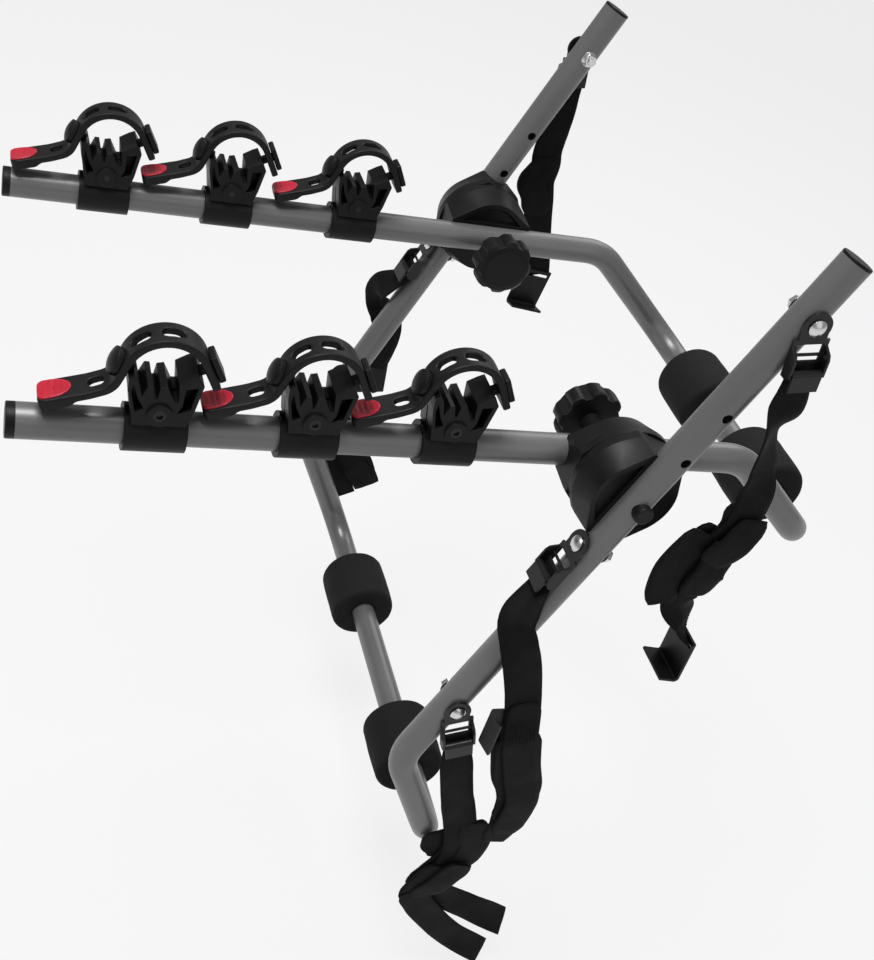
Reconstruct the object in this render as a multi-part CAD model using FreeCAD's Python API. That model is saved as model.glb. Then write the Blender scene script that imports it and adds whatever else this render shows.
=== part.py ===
import FreeCAD, Part
import math
import os

os.makedirs("parts", exist_ok=True)

V = FreeCAD.Vector

# round steel tube, the same in both hoops
tube_od = 32.0
tube_wall = 1.6

# lower hoop: two leaning side tubes and a crossbar at the foot
lower_half_span = 286.0
lean_angle = 69.6
lower_top_reach = 296.0
lower_bend_reach = 405.0
lower_kick_angle = 63.3
lower_kick_length = 191.0
lower_bend_radius = 60.0
lower_corner_radius = 60.0

# upper hoop: two level arms and a crossbar behind them
arm_half_span = 210.0
arm_tip_reach = 563.5
arm_bend_reach = 161.6
arm_kick_angle = 40.0
arm_kick_length = 186.0
arm_bend_radius = 65.0
arm_corner_radius = 60.0

# plastic plugs in the open tube ends
arm_plug_thick = 8.0
lower_plug_thick = 3.0
plug_edge = 1.2
plug_depth = 18.0
plug_fit = 0.1

# foam rollers on the crossbars
pad_od = 90.0
pad_length = 82.0
pad_edge = 7.0
lower_pad_inset = 148.0
upper_pad_inset = 127.0

# clamshell hubs between the hoops
hub_radius = 54.5
hub_face_radius = 45.5
hub_land = 9.0
hub_gap = 0.5
hub_reach = 51.9
hub_land_width = 24.0
hub_lip_width = 20.0
hub_overhang = 2.0
hub_recess_rim = 5.0
hub_recess_depth = 4.5
hub_recess_draft = 3.0

# hub bolt and clamp knob
hub_bolt_od = 10.0
hub_bolt_clearance = 0.08
hub_head_od = 14.0
hub_head_thick = 5.0
hub_cap_od = 19.5
hub_cap_wall = 2.2
knob_gap = 0.5
knob_neck_od = 24.0
knob_neck_length = 31.0
knob_thick = 27.0
knob_core_radius = 30.5
knob_lobe_radius = 8.5
knob_lobe_count = 8
knob_lobe_circle = 27.5
knob_crown = 8.0
knob_skin = 4.0

# spare locking holes through the lower tubes
pin_hole_radius = 5.25
pin_hole_first = 64.5
pin_hole_pitch = 57.5

# strap bolts through the lower tubes
strap_bolt_od = 8.0
strap_bolt_clearance = 0.08
strap_head_od = 17.0
strap_head_thick = 4.5
strap_nut_width = 13.0
strap_nut_thick = 7.0
strap_nut_flange_od = 19.0
strap_nut_flange = 2.0
strap_bolt_tail = 2.0
top_bolt_reach = 235.0
middle_bolt_reach = -67.5
bottom_bolt_reach = -303.0

# cradles along the arms, measured from the hub axis
cradle_last_right = 178.0
cradle_last_left = 180.0
cradle_spaces_right = [9.722, 10.722]
cradle_spaces_left = [23.722, 11.722]
cradle_band_length = 54.0
cradle_band_radius = 21.5
cradle_width = 38.0
cradle_slot = 3.0
cradle_screw_height = 28.0
cradle_screw_od = 6.0
cradle_screw_head_od = 11.0
cradle_screw_head_thick = 3.0
cradle_boss_od = 22.0
cradle_boss_proud = 2.5
saddle_outline = [
    (-22.0, 16.0), (-25.0, 34.0), (-29.0, 52.0), (-29.5, 63.0), (-24.5, 66.0), (-21.0, 61.0),
    (-17.0, 46.0), (-13.0, 56.0), (-8.5, 56.0), (-5.5, 44.0), (-4.0, 44.0), (-2.5, 55.0),
    (3.5, 56.5), (11.0, 42.0), (14.5, 42.0), (12.5, 59.5), (22.0, 66.0), (28.0, 69.0),
    (33.5, 60.0), (29.0, 34.0), (24.0, 16.0),
]

# rubber strap over each cradle
strap_width = 30.0
strap_thick = 7.0
strap_fit = 0.4
arch_centre_y = 2.0
arch_centre_z = 62.0
arch_radius = 34.8
arch_right_angle = 28.0
arch_left_angle = 160.0
arch_leg = 30.0
tail_drop = 28.0
tail_bend = 18.0
tail_knee_y = 18.5
tail_knee_z = 8.0
tail_knee_bend = 60.0
tail_end_y = 39.5
tail_end_z = 12.5
strap_hole_width = 11.0
strap_hole_length = 19.0
arch_hole_angles = [86.0, 130.0]
tail_hole_reach = 49.0
button_stem_od = 10.0
button_head_od = 25.0
button_head_thick = 8.0
button_reach = 9.0
toggle_reach = 12.0
toggle_stem = 8.0
toggle_head_length = 27.0
toggle_head_width = 20.0
toggle_head_thick = 6.0
tab_length = 29.0
tab_thick = 2.0

# cam buckle: a flanged plate that swivels on its bolt
buckle_plate = 2.5
buckle_ear_radius = 15.0
buckle_width = 36.0
buckle_length = 50.0
buckle_rail = 5.0
buckle_flange = 13.0
buckle_window_start = 17.0
buckle_window_end = 38.0
buckle_seat_gap = 1.0
buckle_head_gap = 0.5
lever_pin_od = 4.0
lever_pin_clearance = 0.06
lever_barrel_od = 9.0
lever_reach = 16.0
lever_thick = 2.5
lever_side_gap = 0.6
lever_web_gap = 0.6

# flat webbing and the steel hooks on it
web_width = 38.0
web_thick = 2.4
hook_width = 46.0
hook_thick = 3.0
hook_length = 58.0
hook_return = 24.0
hook_bend = 5.0
hook_slot_length = 40.0
hook_slot_width = 5.0
hook_slack = 0.15

sides = {"right": 1.0, "left": -1.0}
tube_radius = tube_od / 2.0
lean = math.radians(lean_angle)
lower_kick = math.radians(lower_kick_angle)
arm_kick = math.radians(arm_kick_angle)
up_tube = V(0, math.cos(lean), math.sin(lean))
off_tube = V(0, -math.sin(lean), math.cos(lean))
lower_kick_dir = V(0, math.cos(lower_kick), -math.sin(lower_kick))
arm_kick_dir = V(0, math.cos(arm_kick), -math.sin(arm_kick))
across = V(1, 0, 0)


def unit(v):
    return V(v).normalize()


def cylinder(radius, start, direction, length):
    return Part.makeCylinder(radius, length, start, direction)


def round_path(points, radii):
    """Straight runs through the points, joined by tangent arcs."""
    edges = []
    last = points[0]
    for index in range(1, len(points) - 1):
        corner = points[index]
        radius = radii[index - 1]
        inward = unit(corner - points[index - 1])
        outward = unit(points[index + 1] - corner)
        turn = inward.getAngle(outward)
        cut = radius * math.tan(turn / 2.0)
        start = corner - inward * cut
        end = corner + outward * cut
        side = unit(outward - inward * inward.dot(outward))
        centre = start + side * radius
        middle = centre + unit(corner - centre) * radius
        edges.append(Part.LineSegment(last, start).toShape())
        edges.append(Part.Arc(start, middle, end).toShape())
        last = end
    if (points[-1] - last).Length > 1e-6:
        edges.append(Part.LineSegment(last, points[-1]).toShape())
    return Part.Wire(edges)


def swept(path, radius, start, direction):
    ring = Part.Wire([Part.makeCircle(radius, start, direction)])
    return path.makePipeShell([ring], True, False)


def hollow_tube(points, radii):
    path = round_path(points, radii)
    direction = unit(points[1] - points[0])
    outside = swept(path, tube_radius, points[0], direction)
    inside = swept(path, tube_radius - tube_wall, points[0], direction)
    return outside.cut(inside)


def placed(shape, origin, along, out):
    """Moves a shape from its own frame (X along, Z out) to the carrier's."""
    width = out.cross(along)
    turn = FreeCAD.Rotation(along, width, out, "ZXY")
    copy = shape.copy()
    copy.Placement = FreeCAD.Placement(origin, turn)
    return copy


def box_between(low, high):
    size = V(high) - V(low)
    return Part.makeBox(size.x, size.y, size.z, V(low))


def prism(outline, thickness, start):
    """A closed outline in the YZ plane, made solid along X from start."""
    wire = Part.makePolygon([V(start, y, z) for y, z in outline + outline[:1]])
    return Part.Face(wire).extrude(V(thickness, 0, 0))


def write(name, shapes):
    shape = shapes[0] if len(shapes) == 1 else Part.makeCompound(shapes)
    shape.exportStep("parts/" + name + ".step")


def lower_point(side, reach):
    return across * (side * lower_half_span) + up_tube * reach


def arm_point(side, y):
    return V(side * arm_half_span, y, 0)


lower_apex = up_tube * -lower_bend_reach
lower_corner = lower_apex + lower_kick_dir * lower_kick_length
arm_apex = V(0, arm_bend_reach, 0)
arm_corner = arm_apex + arm_kick_dir * arm_kick_length


def strap_axis(side, place):
    """Bolt reach along the lower tube, bolt direction and buckle direction."""
    if place == "top":
        return top_bolt_reach, across * side
    if place == "bottom":
        return bottom_bolt_reach, across * side
    return middle_bolt_reach, off_tube


def lower_tube(side):
    points = [
        lower_point(side, lower_top_reach),
        across * (side * lower_half_span) + lower_apex,
        across * (side * lower_half_span) + lower_corner,
        across * (side * (lower_half_span - lower_corner_radius)) + lower_corner,
    ]
    tube = hollow_tube(points, [lower_bend_radius, lower_corner_radius])
    for reach, radius in [
        (0.0, hub_bolt_od / 2.0),
        (pin_hole_first, pin_hole_radius),
        (pin_hole_first + pin_hole_pitch, pin_hole_radius),
    ]:
        start = lower_point(side, reach) - across * tube_od
        tube = tube.cut(cylinder(radius, start, across, 2.0 * tube_od))
    for place in ["top", "middle", "bottom"]:
        reach, out = strap_axis(side, place)
        start = lower_point(side, reach) - out * tube_od
        tube = tube.cut(cylinder(strap_bolt_od / 2.0, start, out, 2.0 * tube_od))
    return tube


def lower_crossbar():
    half = lower_half_span - lower_corner_radius
    return hollow_tube([lower_corner - across * half, lower_corner + across * half], [])


def arm_tube(side):
    points = [
        arm_point(side, -arm_tip_reach),
        across * (side * arm_half_span) + arm_apex,
        across * (side * arm_half_span) + arm_corner,
        across * (side * (arm_half_span - arm_corner_radius)) + arm_corner,
    ]
    tube = hollow_tube(points, [arm_bend_radius, arm_corner_radius])
    hole = hub_bolt_od / 2.0 + hub_bolt_clearance
    start = arm_point(side, 0.0) - across * tube_od
    return tube.cut(cylinder(hole, start, across, 2.0 * tube_od))


def upper_crossbar():
    half = arm_half_span - arm_corner_radius
    return hollow_tube([arm_corner - across * half, arm_corner + across * half], [])


def end_plug(end, outward, thick):
    """A cap over the tube's end with a spigot inside it."""
    spigot = tube_radius - tube_wall - plug_fit
    cap = cylinder(tube_radius, end, outward, thick)
    rim = [e for e in cap.Edges if e.Closed and (e.CenterOfMass - end).Length > thick / 2.0]
    cap = cap.makeFillet(plug_edge, rim)
    return cap.fuse(cylinder(spigot, end - outward * plug_depth, outward, plug_depth + 1.0))


def pad(side, half_span, inset, corner):
    start = corner + across * (side * (half_span - inset) - pad_length / 2.0)
    roller = cylinder(pad_od / 2.0, start, across, pad_length)
    roller = roller.makeFillet(pad_edge, [e for e in roller.Edges if e.Closed])
    return roller.cut(cylinder(tube_radius, start, across, pad_length))


def hub_outline(origin, along, side_dir, radius, reach, width):
    """A circle drawn out by straight flanks to two flat ends on the tube's line."""
    corner = math.hypot(reach, width)
    angle = math.atan2(width, reach) + math.acos(radius / corner)
    touch_u = radius * math.cos(angle)
    touch_v = radius * math.sin(angle)

    def spot(u, v):
        return origin + along * u + side_dir * v

    edges = [
        Part.LineSegment(spot(reach, width), spot(touch_u, touch_v)).toShape(),
        Part.Arc(spot(touch_u, touch_v), spot(0.0, radius), spot(-touch_u, touch_v)).toShape(),
        Part.LineSegment(spot(-touch_u, touch_v), spot(-reach, width)).toShape(),
        Part.LineSegment(spot(-reach, width), spot(-reach, -width)).toShape(),
        Part.LineSegment(spot(-reach, -width), spot(-touch_u, -touch_v)).toShape(),
        Part.Arc(spot(-touch_u, -touch_v), spot(0.0, -radius), spot(touch_u, -touch_v)).toShape(),
        Part.LineSegment(spot(touch_u, -touch_v), spot(reach, -width)).toShape(),
        Part.LineSegment(spot(reach, -width), spot(reach, width)).toShape(),
    ]
    return Part.Wire(edges)


def hub_half(side, face, back, tube_dir, recess_dir):
    """Half a clamshell: a flat face at the joint and a flank that cups a tube."""
    step = 1.0 if back > face else -1.0
    land = face + step * hub_land
    centre = across * (side * (back + step * hub_overhang))

    def outline(x, radius, reach, width):
        return hub_outline(across * (side * x), tube_dir, recess_dir, radius, reach, width)

    ring = outline(face, hub_radius, hub_reach, hub_land_width)
    half = Part.Face(ring).extrude(across * (side * step * hub_land))
    rim = outline(land, hub_radius, hub_reach, hub_land_width)
    top = outline(back, hub_face_radius, hub_reach, hub_lip_width)
    half = half.fuse(Part.makeLoft([rim, top], True, True))
    inner = hub_face_radius - hub_recess_rim
    floor_x = back - step * hub_recess_depth
    narrow = hub_lip_width - hub_recess_rim
    low = outline(floor_x, inner - hub_recess_draft, hub_reach - 2.0 * hub_recess_rim, narrow)
    high = outline(back + step, inner, hub_reach - hub_recess_rim, narrow)
    recess = Part.makeLoft([low, high], True, True)
    size = 4.0 * hub_radius
    frame = Part.makeBox(size, size, size, V(-size / 2.0, -size / 2.0, hub_lip_width))
    turn = FreeCAD.Rotation(V(0, 0, 1), recess_dir)
    frame.Placement = FreeCAD.Placement(across * (side * back), turn).multiply(frame.Placement)
    half = half.cut(recess.common(frame))
    channel = cylinder(
        tube_radius, centre - tube_dir * (2.0 * hub_radius), tube_dir, 4.0 * hub_radius
    )
    return half.cut(channel)


def hub_outer_half(side):
    face = (lower_half_span + arm_half_span) / 2.0 + hub_gap / 2.0
    half = hub_half(side, face, lower_half_span - hub_overhang, up_tube, off_tube)
    hole = cylinder(hub_bolt_od / 2.0, V(0, 0, 0), across * side, 2.0 * lower_half_span)
    return half.cut(hole)


def hub_inner_half(side):
    face = (lower_half_span + arm_half_span) / 2.0 - hub_gap / 2.0
    half = hub_half(side, face, arm_half_span + hub_overhang, V(0, 1, 0), V(0, 0, 1))
    radius = hub_bolt_od / 2.0 + hub_bolt_clearance
    hole = cylinder(radius, V(0, 0, 0), across * side, 2.0 * lower_half_span)
    return half.cut(hole)


def knob_face_reach():
    """Where the knob's neck ends, just inside the arm."""
    return arm_half_span - tube_radius - knob_gap


def hub_bolt(side):
    seat = lower_half_span + tube_radius
    tip = knob_face_reach() - knob_neck_length - knob_thick + knob_crown
    shank = cylinder(hub_bolt_od / 2.0, across * (side * tip), across * side, seat - tip)
    head = cylinder(hub_head_od / 2.0, across * (side * seat), across * side, hub_head_thick)
    return shank.fuse(head)


def hub_bolt_cap(side):
    """A cup over the bolt head, its rim shaped to the tube."""
    seat = lower_half_span + tube_radius
    start = lower_half_span + tube_radius / 2.0
    top = seat + hub_head_thick + hub_cap_wall
    cup = cylinder(hub_cap_od / 2.0, across * (side * start), across * side, top - start)
    edge = [e for e in cup.Edges if e.Closed and abs(abs(e.CenterOfMass.x) - top) < 0.1]
    cup = cup.makeFillet(hub_cap_wall * 0.8, edge)
    cup = cup.cut(cylinder(tube_radius, lower_point(side, -tube_od), up_tube, 2.0 * tube_od))
    head = cylinder(hub_head_od / 2.0, across * (side * start), across * side, seat - start + hub_head_thick)
    return cup.cut(head)


def knob(side):
    reach = knob_face_reach()
    grip = reach - knob_neck_length
    crown = grip - knob_thick
    body = cylinder(knob_core_radius, across * (side * crown), across * side, knob_thick)
    for index in range(knob_lobe_count):
        angle = math.tau * index / knob_lobe_count
        spot = V(side * crown, knob_lobe_circle * math.cos(angle), knob_lobe_circle * math.sin(angle))
        body = body.fuse(cylinder(knob_lobe_radius, spot, across * side, knob_thick))
    body = body.removeSplitter()
    limit = knob_lobe_circle + knob_lobe_radius
    outline = [
        (crown, 0.0), (crown, limit - 3.0 * knob_skin), (crown + 0.3 * knob_skin, limit - 1.6 * knob_skin),
        (crown + 1.2 * knob_skin, limit - 0.4 * knob_skin), (crown + 2.6 * knob_skin, limit),
        (grip - knob_skin, limit), (grip - 0.3 * knob_skin, limit - 0.3 * knob_skin),
        (grip, limit - 1.2 * knob_skin), (grip, 0.0),
    ]
    points = [V(side * x, r, 0) for x, r in outline]
    wire = Part.makePolygon(points + points[:1])
    body = body.common(Part.Face(wire).revolve(V(0, 0, 0), across, 360.0))
    body = body.fuse(cylinder(knob_neck_od / 2.0, across * (side * (grip - 1.0)), across * side, knob_neck_length + 1.0))
    radius = hub_bolt_od / 2.0 + hub_bolt_clearance
    floor = crown + knob_crown - knob_gap
    return body.cut(cylinder(radius, across * (side * floor), across * side, reach - floor + 1.0))


def strap_bolt(side, place):
    """Domed head, washer collar against the tube and a shank through it."""
    reach, out = strap_axis(side, place)
    centre = lower_point(side, reach)
    seat = tube_radius + buckle_seat_gap + buckle_plate + buckle_head_gap
    tail = tube_radius + strap_nut_thick + strap_bolt_tail
    shank = cylinder(strap_bolt_od / 2.0, centre - out * tail, out, tail + seat)
    head = cylinder(strap_head_od / 2.0, centre + out * seat, out, strap_head_thick)
    ball = 0.72 * strap_head_od
    dome = Part.makeSphere(ball, centre + out * (seat + strap_head_thick - ball))
    return shank.fuse(head.common(dome))


def strap_nut(side, place):
    reach, out = strap_axis(side, place)
    seat = lower_point(side, reach) - out * tube_radius
    radius = strap_nut_width / math.sqrt(3.0)
    ring = []
    for index in range(7):
        angle = math.tau * index / 6.0
        ring.append(V(radius * math.cos(angle), radius * math.sin(angle), 0))
    nut = Part.Face(Part.makePolygon(ring)).extrude(V(0, 0, strap_nut_thick))
    flange = Part.makeCone(strap_nut_flange_od / 2.0, strap_nut_width / 2.0, strap_nut_flange)
    nut = nut.fuse(flange)
    nut = nut.cut(cylinder(strap_bolt_od / 2.0, V(0, 0, 0), V(0, 0, 1), strap_nut_thick))
    return placed(nut, seat, unit(out.cross(V(0, 1, 0.3))), -out)


def cradle_shift(side, reach):
    return V(side * arm_half_span, -reach, 0)


def leg_direction(angle, turn):
    """Tangent of the arch where it leaves for a leg."""
    theta = math.radians(angle)
    return V(0, turn * math.sin(theta), -turn * math.cos(theta))


def arch_point(angle, radius):
    theta = math.radians(angle)
    return V(0, arch_centre_y + radius * math.cos(theta), arch_centre_z + radius * math.sin(theta))


right_leg_top = arch_point(arch_right_angle, arch_radius)
right_leg_dir = leg_direction(arch_right_angle, 1.0)
left_leg_top = arch_point(arch_left_angle, arch_radius)
left_leg_dir = leg_direction(arch_left_angle, -1.0)
button_out = V(0, left_leg_dir.z, -left_leg_dir.y)
toggle_out = V(0, -right_leg_dir.z, right_leg_dir.y)
tail_extent = -(left_leg_top.y + left_leg_dir.y * tail_drop) + tail_knee_y + tail_end_y
button_point = left_leg_top + left_leg_dir * button_reach
toggle_point = right_leg_top + right_leg_dir * toggle_reach


def cradle_reaches(last, spaces):
    """Each tail clears the next cradle's band by its space, from the hub outward."""
    reaches = [last]
    for space in spaces:
        reaches.append(reaches[-1] + tail_extent + cradle_band_length / 2.0 + space)
    return reaches[::-1]


cradle_reach = {
    1.0: cradle_reaches(cradle_last_right, cradle_spaces_right),
    -1.0: cradle_reaches(cradle_last_left, cradle_spaces_left),
}


def cradle(side, reach):
    """Clamp band round the arm with a forked saddle and two strap posts."""
    shift = cradle_shift(side, reach)
    half = cradle_band_length / 2.0
    band = cylinder(cradle_band_radius, V(0, -half, 0), V(0, 1, 0), cradle_band_length)
    saddle = prism(saddle_outline, cradle_width, -cradle_width / 2.0)
    body = band.fuse(saddle)
    width = cradle_width + 2.0 * cradle_boss_proud
    screw = V(-width / 2.0, 0, cradle_screw_height)
    body = body.fuse(cylinder(cradle_boss_od / 2.0, screw, across, width))
    pocket_depth = cradle_width / 2.0 - 5.0
    for sign in (-1.0, 1.0):
        start = 5.0 if sign > 0 else -5.0 - pocket_depth
        for pocket in (
            [(-21.0, 30.0), (-26.0, 50.0), (-25.0, 58.0), (-19.5, 43.0), (-14.0, 34.0)],
            [(14.0, 30.0), (18.0, 38.0), (18.5, 56.0), (29.0, 58.0), (25.0, 34.0)],
        ):
            body = body.cut(prism(pocket, pocket_depth + cradle_boss_proud, start))
    slot_top = cradle_screw_height + cradle_boss_od / 2.0 + 4.0
    slot = box_between((-cradle_slot / 2.0, -half - 9.0, 0.0), (cradle_slot / 2.0, half + 9.0, slot_top))
    body = body.cut(slot)
    body = body.cut(cylinder(tube_radius, V(0, -half - 9.0, 0), V(0, 1, 0), cradle_band_length + 18.0))
    body = body.cut(cylinder(cradle_screw_od / 2.0, screw, across, width))
    head_seat = V(side * (width / 2.0 - cradle_screw_head_thick), 0, cradle_screw_height)
    body = body.cut(cylinder(cradle_screw_head_od / 2.0, head_seat, across * side, 2.0 * cradle_screw_head_thick))
    stem = strap_thick + 2.0 * strap_fit
    root = 6.5
    post = cylinder(button_stem_od / 2.0, button_point - button_out * (stem / 2.0 + root), button_out, stem + root)
    disc = cylinder(button_head_od / 2.0, button_point + button_out * (stem / 2.0), button_out, button_head_thick)
    ball = 1.0 * button_head_od
    dome = Part.makeSphere(ball, button_point + button_out * (stem / 2.0 + button_head_thick - ball))
    body = body.fuse(post).fuse(disc.common(dome))
    neck = toggle_stem / 2.0 - 0.8
    block = box_between((-neck, -toggle_stem / 2.0, -stem / 2.0 - root), (neck, toggle_stem / 2.0, stem / 2.0))
    block = block.fuse(cylinder(toggle_stem / 2.0, V(0, -toggle_stem / 2.0, 0), V(0, 1, 0), toggle_stem))
    head = box_between((-toggle_head_length / 2.0, -toggle_head_width / 2.0, stem / 2.0), (toggle_head_length / 2.0, toggle_head_width / 2.0, stem / 2.0 + toggle_head_thick))
    head = head.makeFillet(1.5, head.Edges)
    anchor = placed(block.fuse(head), toggle_point, right_leg_dir, toggle_out)
    body = body.fuse(anchor).removeSplitter()
    body.translate(shift)
    return body


def cradle_screw(side, reach):
    width = cradle_width + 2.0 * cradle_boss_proud
    start = V(-side * width / 2.0, 0, cradle_screw_height)
    shank = cylinder(cradle_screw_od / 2.0, start, across * side, width - cradle_screw_head_thick)
    seat = V(side * (width / 2.0 - cradle_screw_head_thick), 0, cradle_screw_height)
    head = cylinder(cradle_screw_head_od / 2.0, seat, across * side, cradle_screw_head_thick)
    head = head.cut(cylinder(2.9, V(side * (width / 2.0 - 2.0), 0, cradle_screw_height), across * side, 4.0))
    screw = shank.fuse(head)
    screw.translate(cradle_shift(side, reach))
    return screw


def strap_path():
    """Centre line of the rubber strap as seen from the side."""
    tip = right_leg_top + right_leg_dir * arch_leg
    runs = [Part.LineSegment(tip, right_leg_top).toShape()]
    crown = arch_point((arch_right_angle + arch_left_angle) / 2.0, arch_radius)
    runs.append(Part.Arc(right_leg_top, crown, left_leg_top).toShape())
    bend = left_leg_top + left_leg_dir * tail_drop
    knee = bend + V(0, -tail_knee_y, -tail_knee_z)
    end = knee + V(0, -tail_end_y, -tail_end_z)
    for edge in round_path([left_leg_top, bend, knee, end], [tail_bend, tail_knee_bend]).Edges:
        runs.append(edge)
    return runs


def strap_hole(centre, along, out, length, width):
    slot = box_between((-(length - width) / 2.0, -width / 2.0, -strap_thick), ((length - width) / 2.0, width / 2.0, strap_thick))
    for sign in (-1.0, 1.0):
        end = V(sign * (length - width) / 2.0, 0, -strap_thick)
        slot = slot.fuse(Part.makeCylinder(width / 2.0, 2.0 * strap_thick, end))
    return placed(slot, centre, along, out)


def cradle_strap(side, reach):
    """Rubber strap with its pull tab as a second solid."""
    runs = strap_path()
    half = strap_thick / 2.0
    path = Part.Wire(runs)
    start = runs[0].Vertexes[0].Point
    tip_dir = unit(runs[0].Vertexes[0].Point - runs[0].Vertexes[1].Point)
    normal = V(0, -tip_dir.z, tip_dir.y)
    corners = []
    for x, n in [(-1, -1), (1, -1), (1, 1), (-1, 1)]:
        corners.append(start + across * (x * strap_width / 2.0) + normal * (n * half))
    section = Part.makePolygon(corners + corners[:1])
    band = path.makePipeShell([section], True, False)
    for angle in arch_hole_angles:
        spot = arch_point(angle, arch_radius)
        band = band.cut(strap_hole(spot, leg_direction(angle, -1.0), unit(spot - arch_point(0.0, 0.0)), strap_hole_length, strap_hole_width))
    tail_run = path.Edges[-1]
    tail_start = tail_run.Vertexes[0].Point
    tail_end = tail_run.Vertexes[-1].Point
    if tail_start.y < tail_end.y:
        tail_start, tail_end = tail_end, tail_start
    tail_dir = unit(tail_end - tail_start)
    tail_out = V(0, tail_dir.z, -tail_dir.y)
    hole_spot = tail_end - tail_dir * tail_hole_reach
    band = band.cut(strap_hole(hole_spot, tail_dir, tail_out, strap_hole_length * 0.8, strap_hole_width))
    hole = button_stem_od / 2.0 + strap_fit
    band = band.cut(cylinder(hole, button_point - button_out * strap_thick, button_out, 2.0 * strap_thick))
    gap = toggle_stem / 2.0 + strap_fit
    slot = box_between((-gap, -gap, -strap_thick), (gap, gap, strap_thick))
    band = band.cut(placed(slot, toggle_point, right_leg_dir, toggle_out))
    tab = box_between((0, -strap_width / 2.0, 0), (tab_length, strap_width / 2.0, tab_thick))
    edges = [e for e in tab.Edges if abs(e.Vertexes[0].Z - e.Vertexes[1].Z) > 0.1]
    tab = tab.makeFillet(7.0, edges)
    tab = placed(tab, tail_end - tail_dir * tab_length + tail_out * half, tail_dir, tail_out)
    for shape in (band, tab):
        shape.translate(cradle_shift(side, reach))
    return [band, tab]


def buckle_frame(side, place):
    """Origin on the bolt, direction down the strap and direction off the tube."""
    reach, out = strap_axis(side, place)
    origin = lower_point(side, reach) + out * (tube_radius + buckle_seat_gap)
    hang = {
        "top": V(0, 0.14, -0.99),
        "middle": up_tube * -1.0,
        "bottom": V(0, 0.26, -0.965),
    }[place]
    return origin, unit(hang), out


lever_axis_height = buckle_plate + web_thick + lever_web_gap + lever_barrel_od / 2.0
lever_axis_reach = buckle_length - lever_barrel_od / 2.0 - 1.0


def buckle(side, place):
    """Flanged plate with a bolt ear, a window, two thin bars and a lever pin."""
    half = buckle_width / 2.0
    ear = Part.makeCylinder(buckle_ear_radius, buckle_plate)
    neck = box_between((0, -buckle_ear_radius + 1.0, 0), (buckle_window_start, buckle_ear_radius - 1.0, buckle_plate))
    frame = box_between((buckle_window_start - 5.0, -half, 0), (buckle_length, half, buckle_plate))
    plate = ear.fuse(neck).fuse(frame)
    inner = half - buckle_rail
    window = box_between((buckle_window_start, -inner, -1), (buckle_window_end, inner, buckle_plate + 1.0))
    plate = plate.cut(window)
    for sign in (-1.0, 1.0):
        low = half - buckle_plate if sign > 0 else -half
        wall = [
            (buckle_window_start, 0.0), (buckle_window_start + 7.0, buckle_flange - 2.0),
            (buckle_window_start + 12.0, buckle_flange), (buckle_length - 4.0, buckle_flange),
            (buckle_length, buckle_flange - 5.0), (buckle_length, 0.0),
        ]
        wire = Part.makePolygon([V(u, low, n) for u, n in wall + wall[:1]])
        plate = plate.fuse(Part.Face(wire).extrude(V(0, buckle_plate, 0)))
    middle = (buckle_window_start + buckle_window_end) / 2.0
    for reach in (middle, buckle_window_end - 3.0):
        bar = cylinder(1.6, V(reach, -half + 0.5, buckle_plate), V(0, 1, 0), buckle_width - 1.0)
        plate = plate.fuse(bar)
    pin_start = V(lever_axis_reach, -half + 0.5, lever_axis_height)
    plate = plate.fuse(cylinder(lever_pin_od / 2.0, pin_start, V(0, 1, 0), buckle_width - 1.0))
    hole = strap_bolt_od / 2.0 + strap_bolt_clearance
    plate = plate.cut(cylinder(hole, V(0, 0, -1), V(0, 0, 1), buckle_plate + 2.0))
    origin, hang, out = buckle_frame(side, place)
    return placed(plate.removeSplitter(), origin, hang, out)


def lever(side, place):
    """Cam barrel on its pin with a thumb tongue."""
    half = buckle_width / 2.0 - buckle_plate - lever_side_gap
    axis = V(lever_axis_reach, -half, lever_axis_height)
    barrel = cylinder(lever_barrel_od / 2.0, axis, V(0, 1, 0), 2.0 * half)
    top = lever_axis_height + lever_barrel_od / 2.0
    tongue = box_between(
        (lever_axis_reach, -half, top - lever_thick), (lever_axis_reach + lever_reach, half, top)
    )
    body = barrel.fuse(tongue)
    bore = lever_pin_od / 2.0 + lever_pin_clearance
    body = body.cut(cylinder(bore, axis - V(0, 1, 0), V(0, 1, 0), 2.0 * half + 2.0))
    origin, hang, out = buckle_frame(side, place)
    return placed(body, origin, hang, out)


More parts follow.
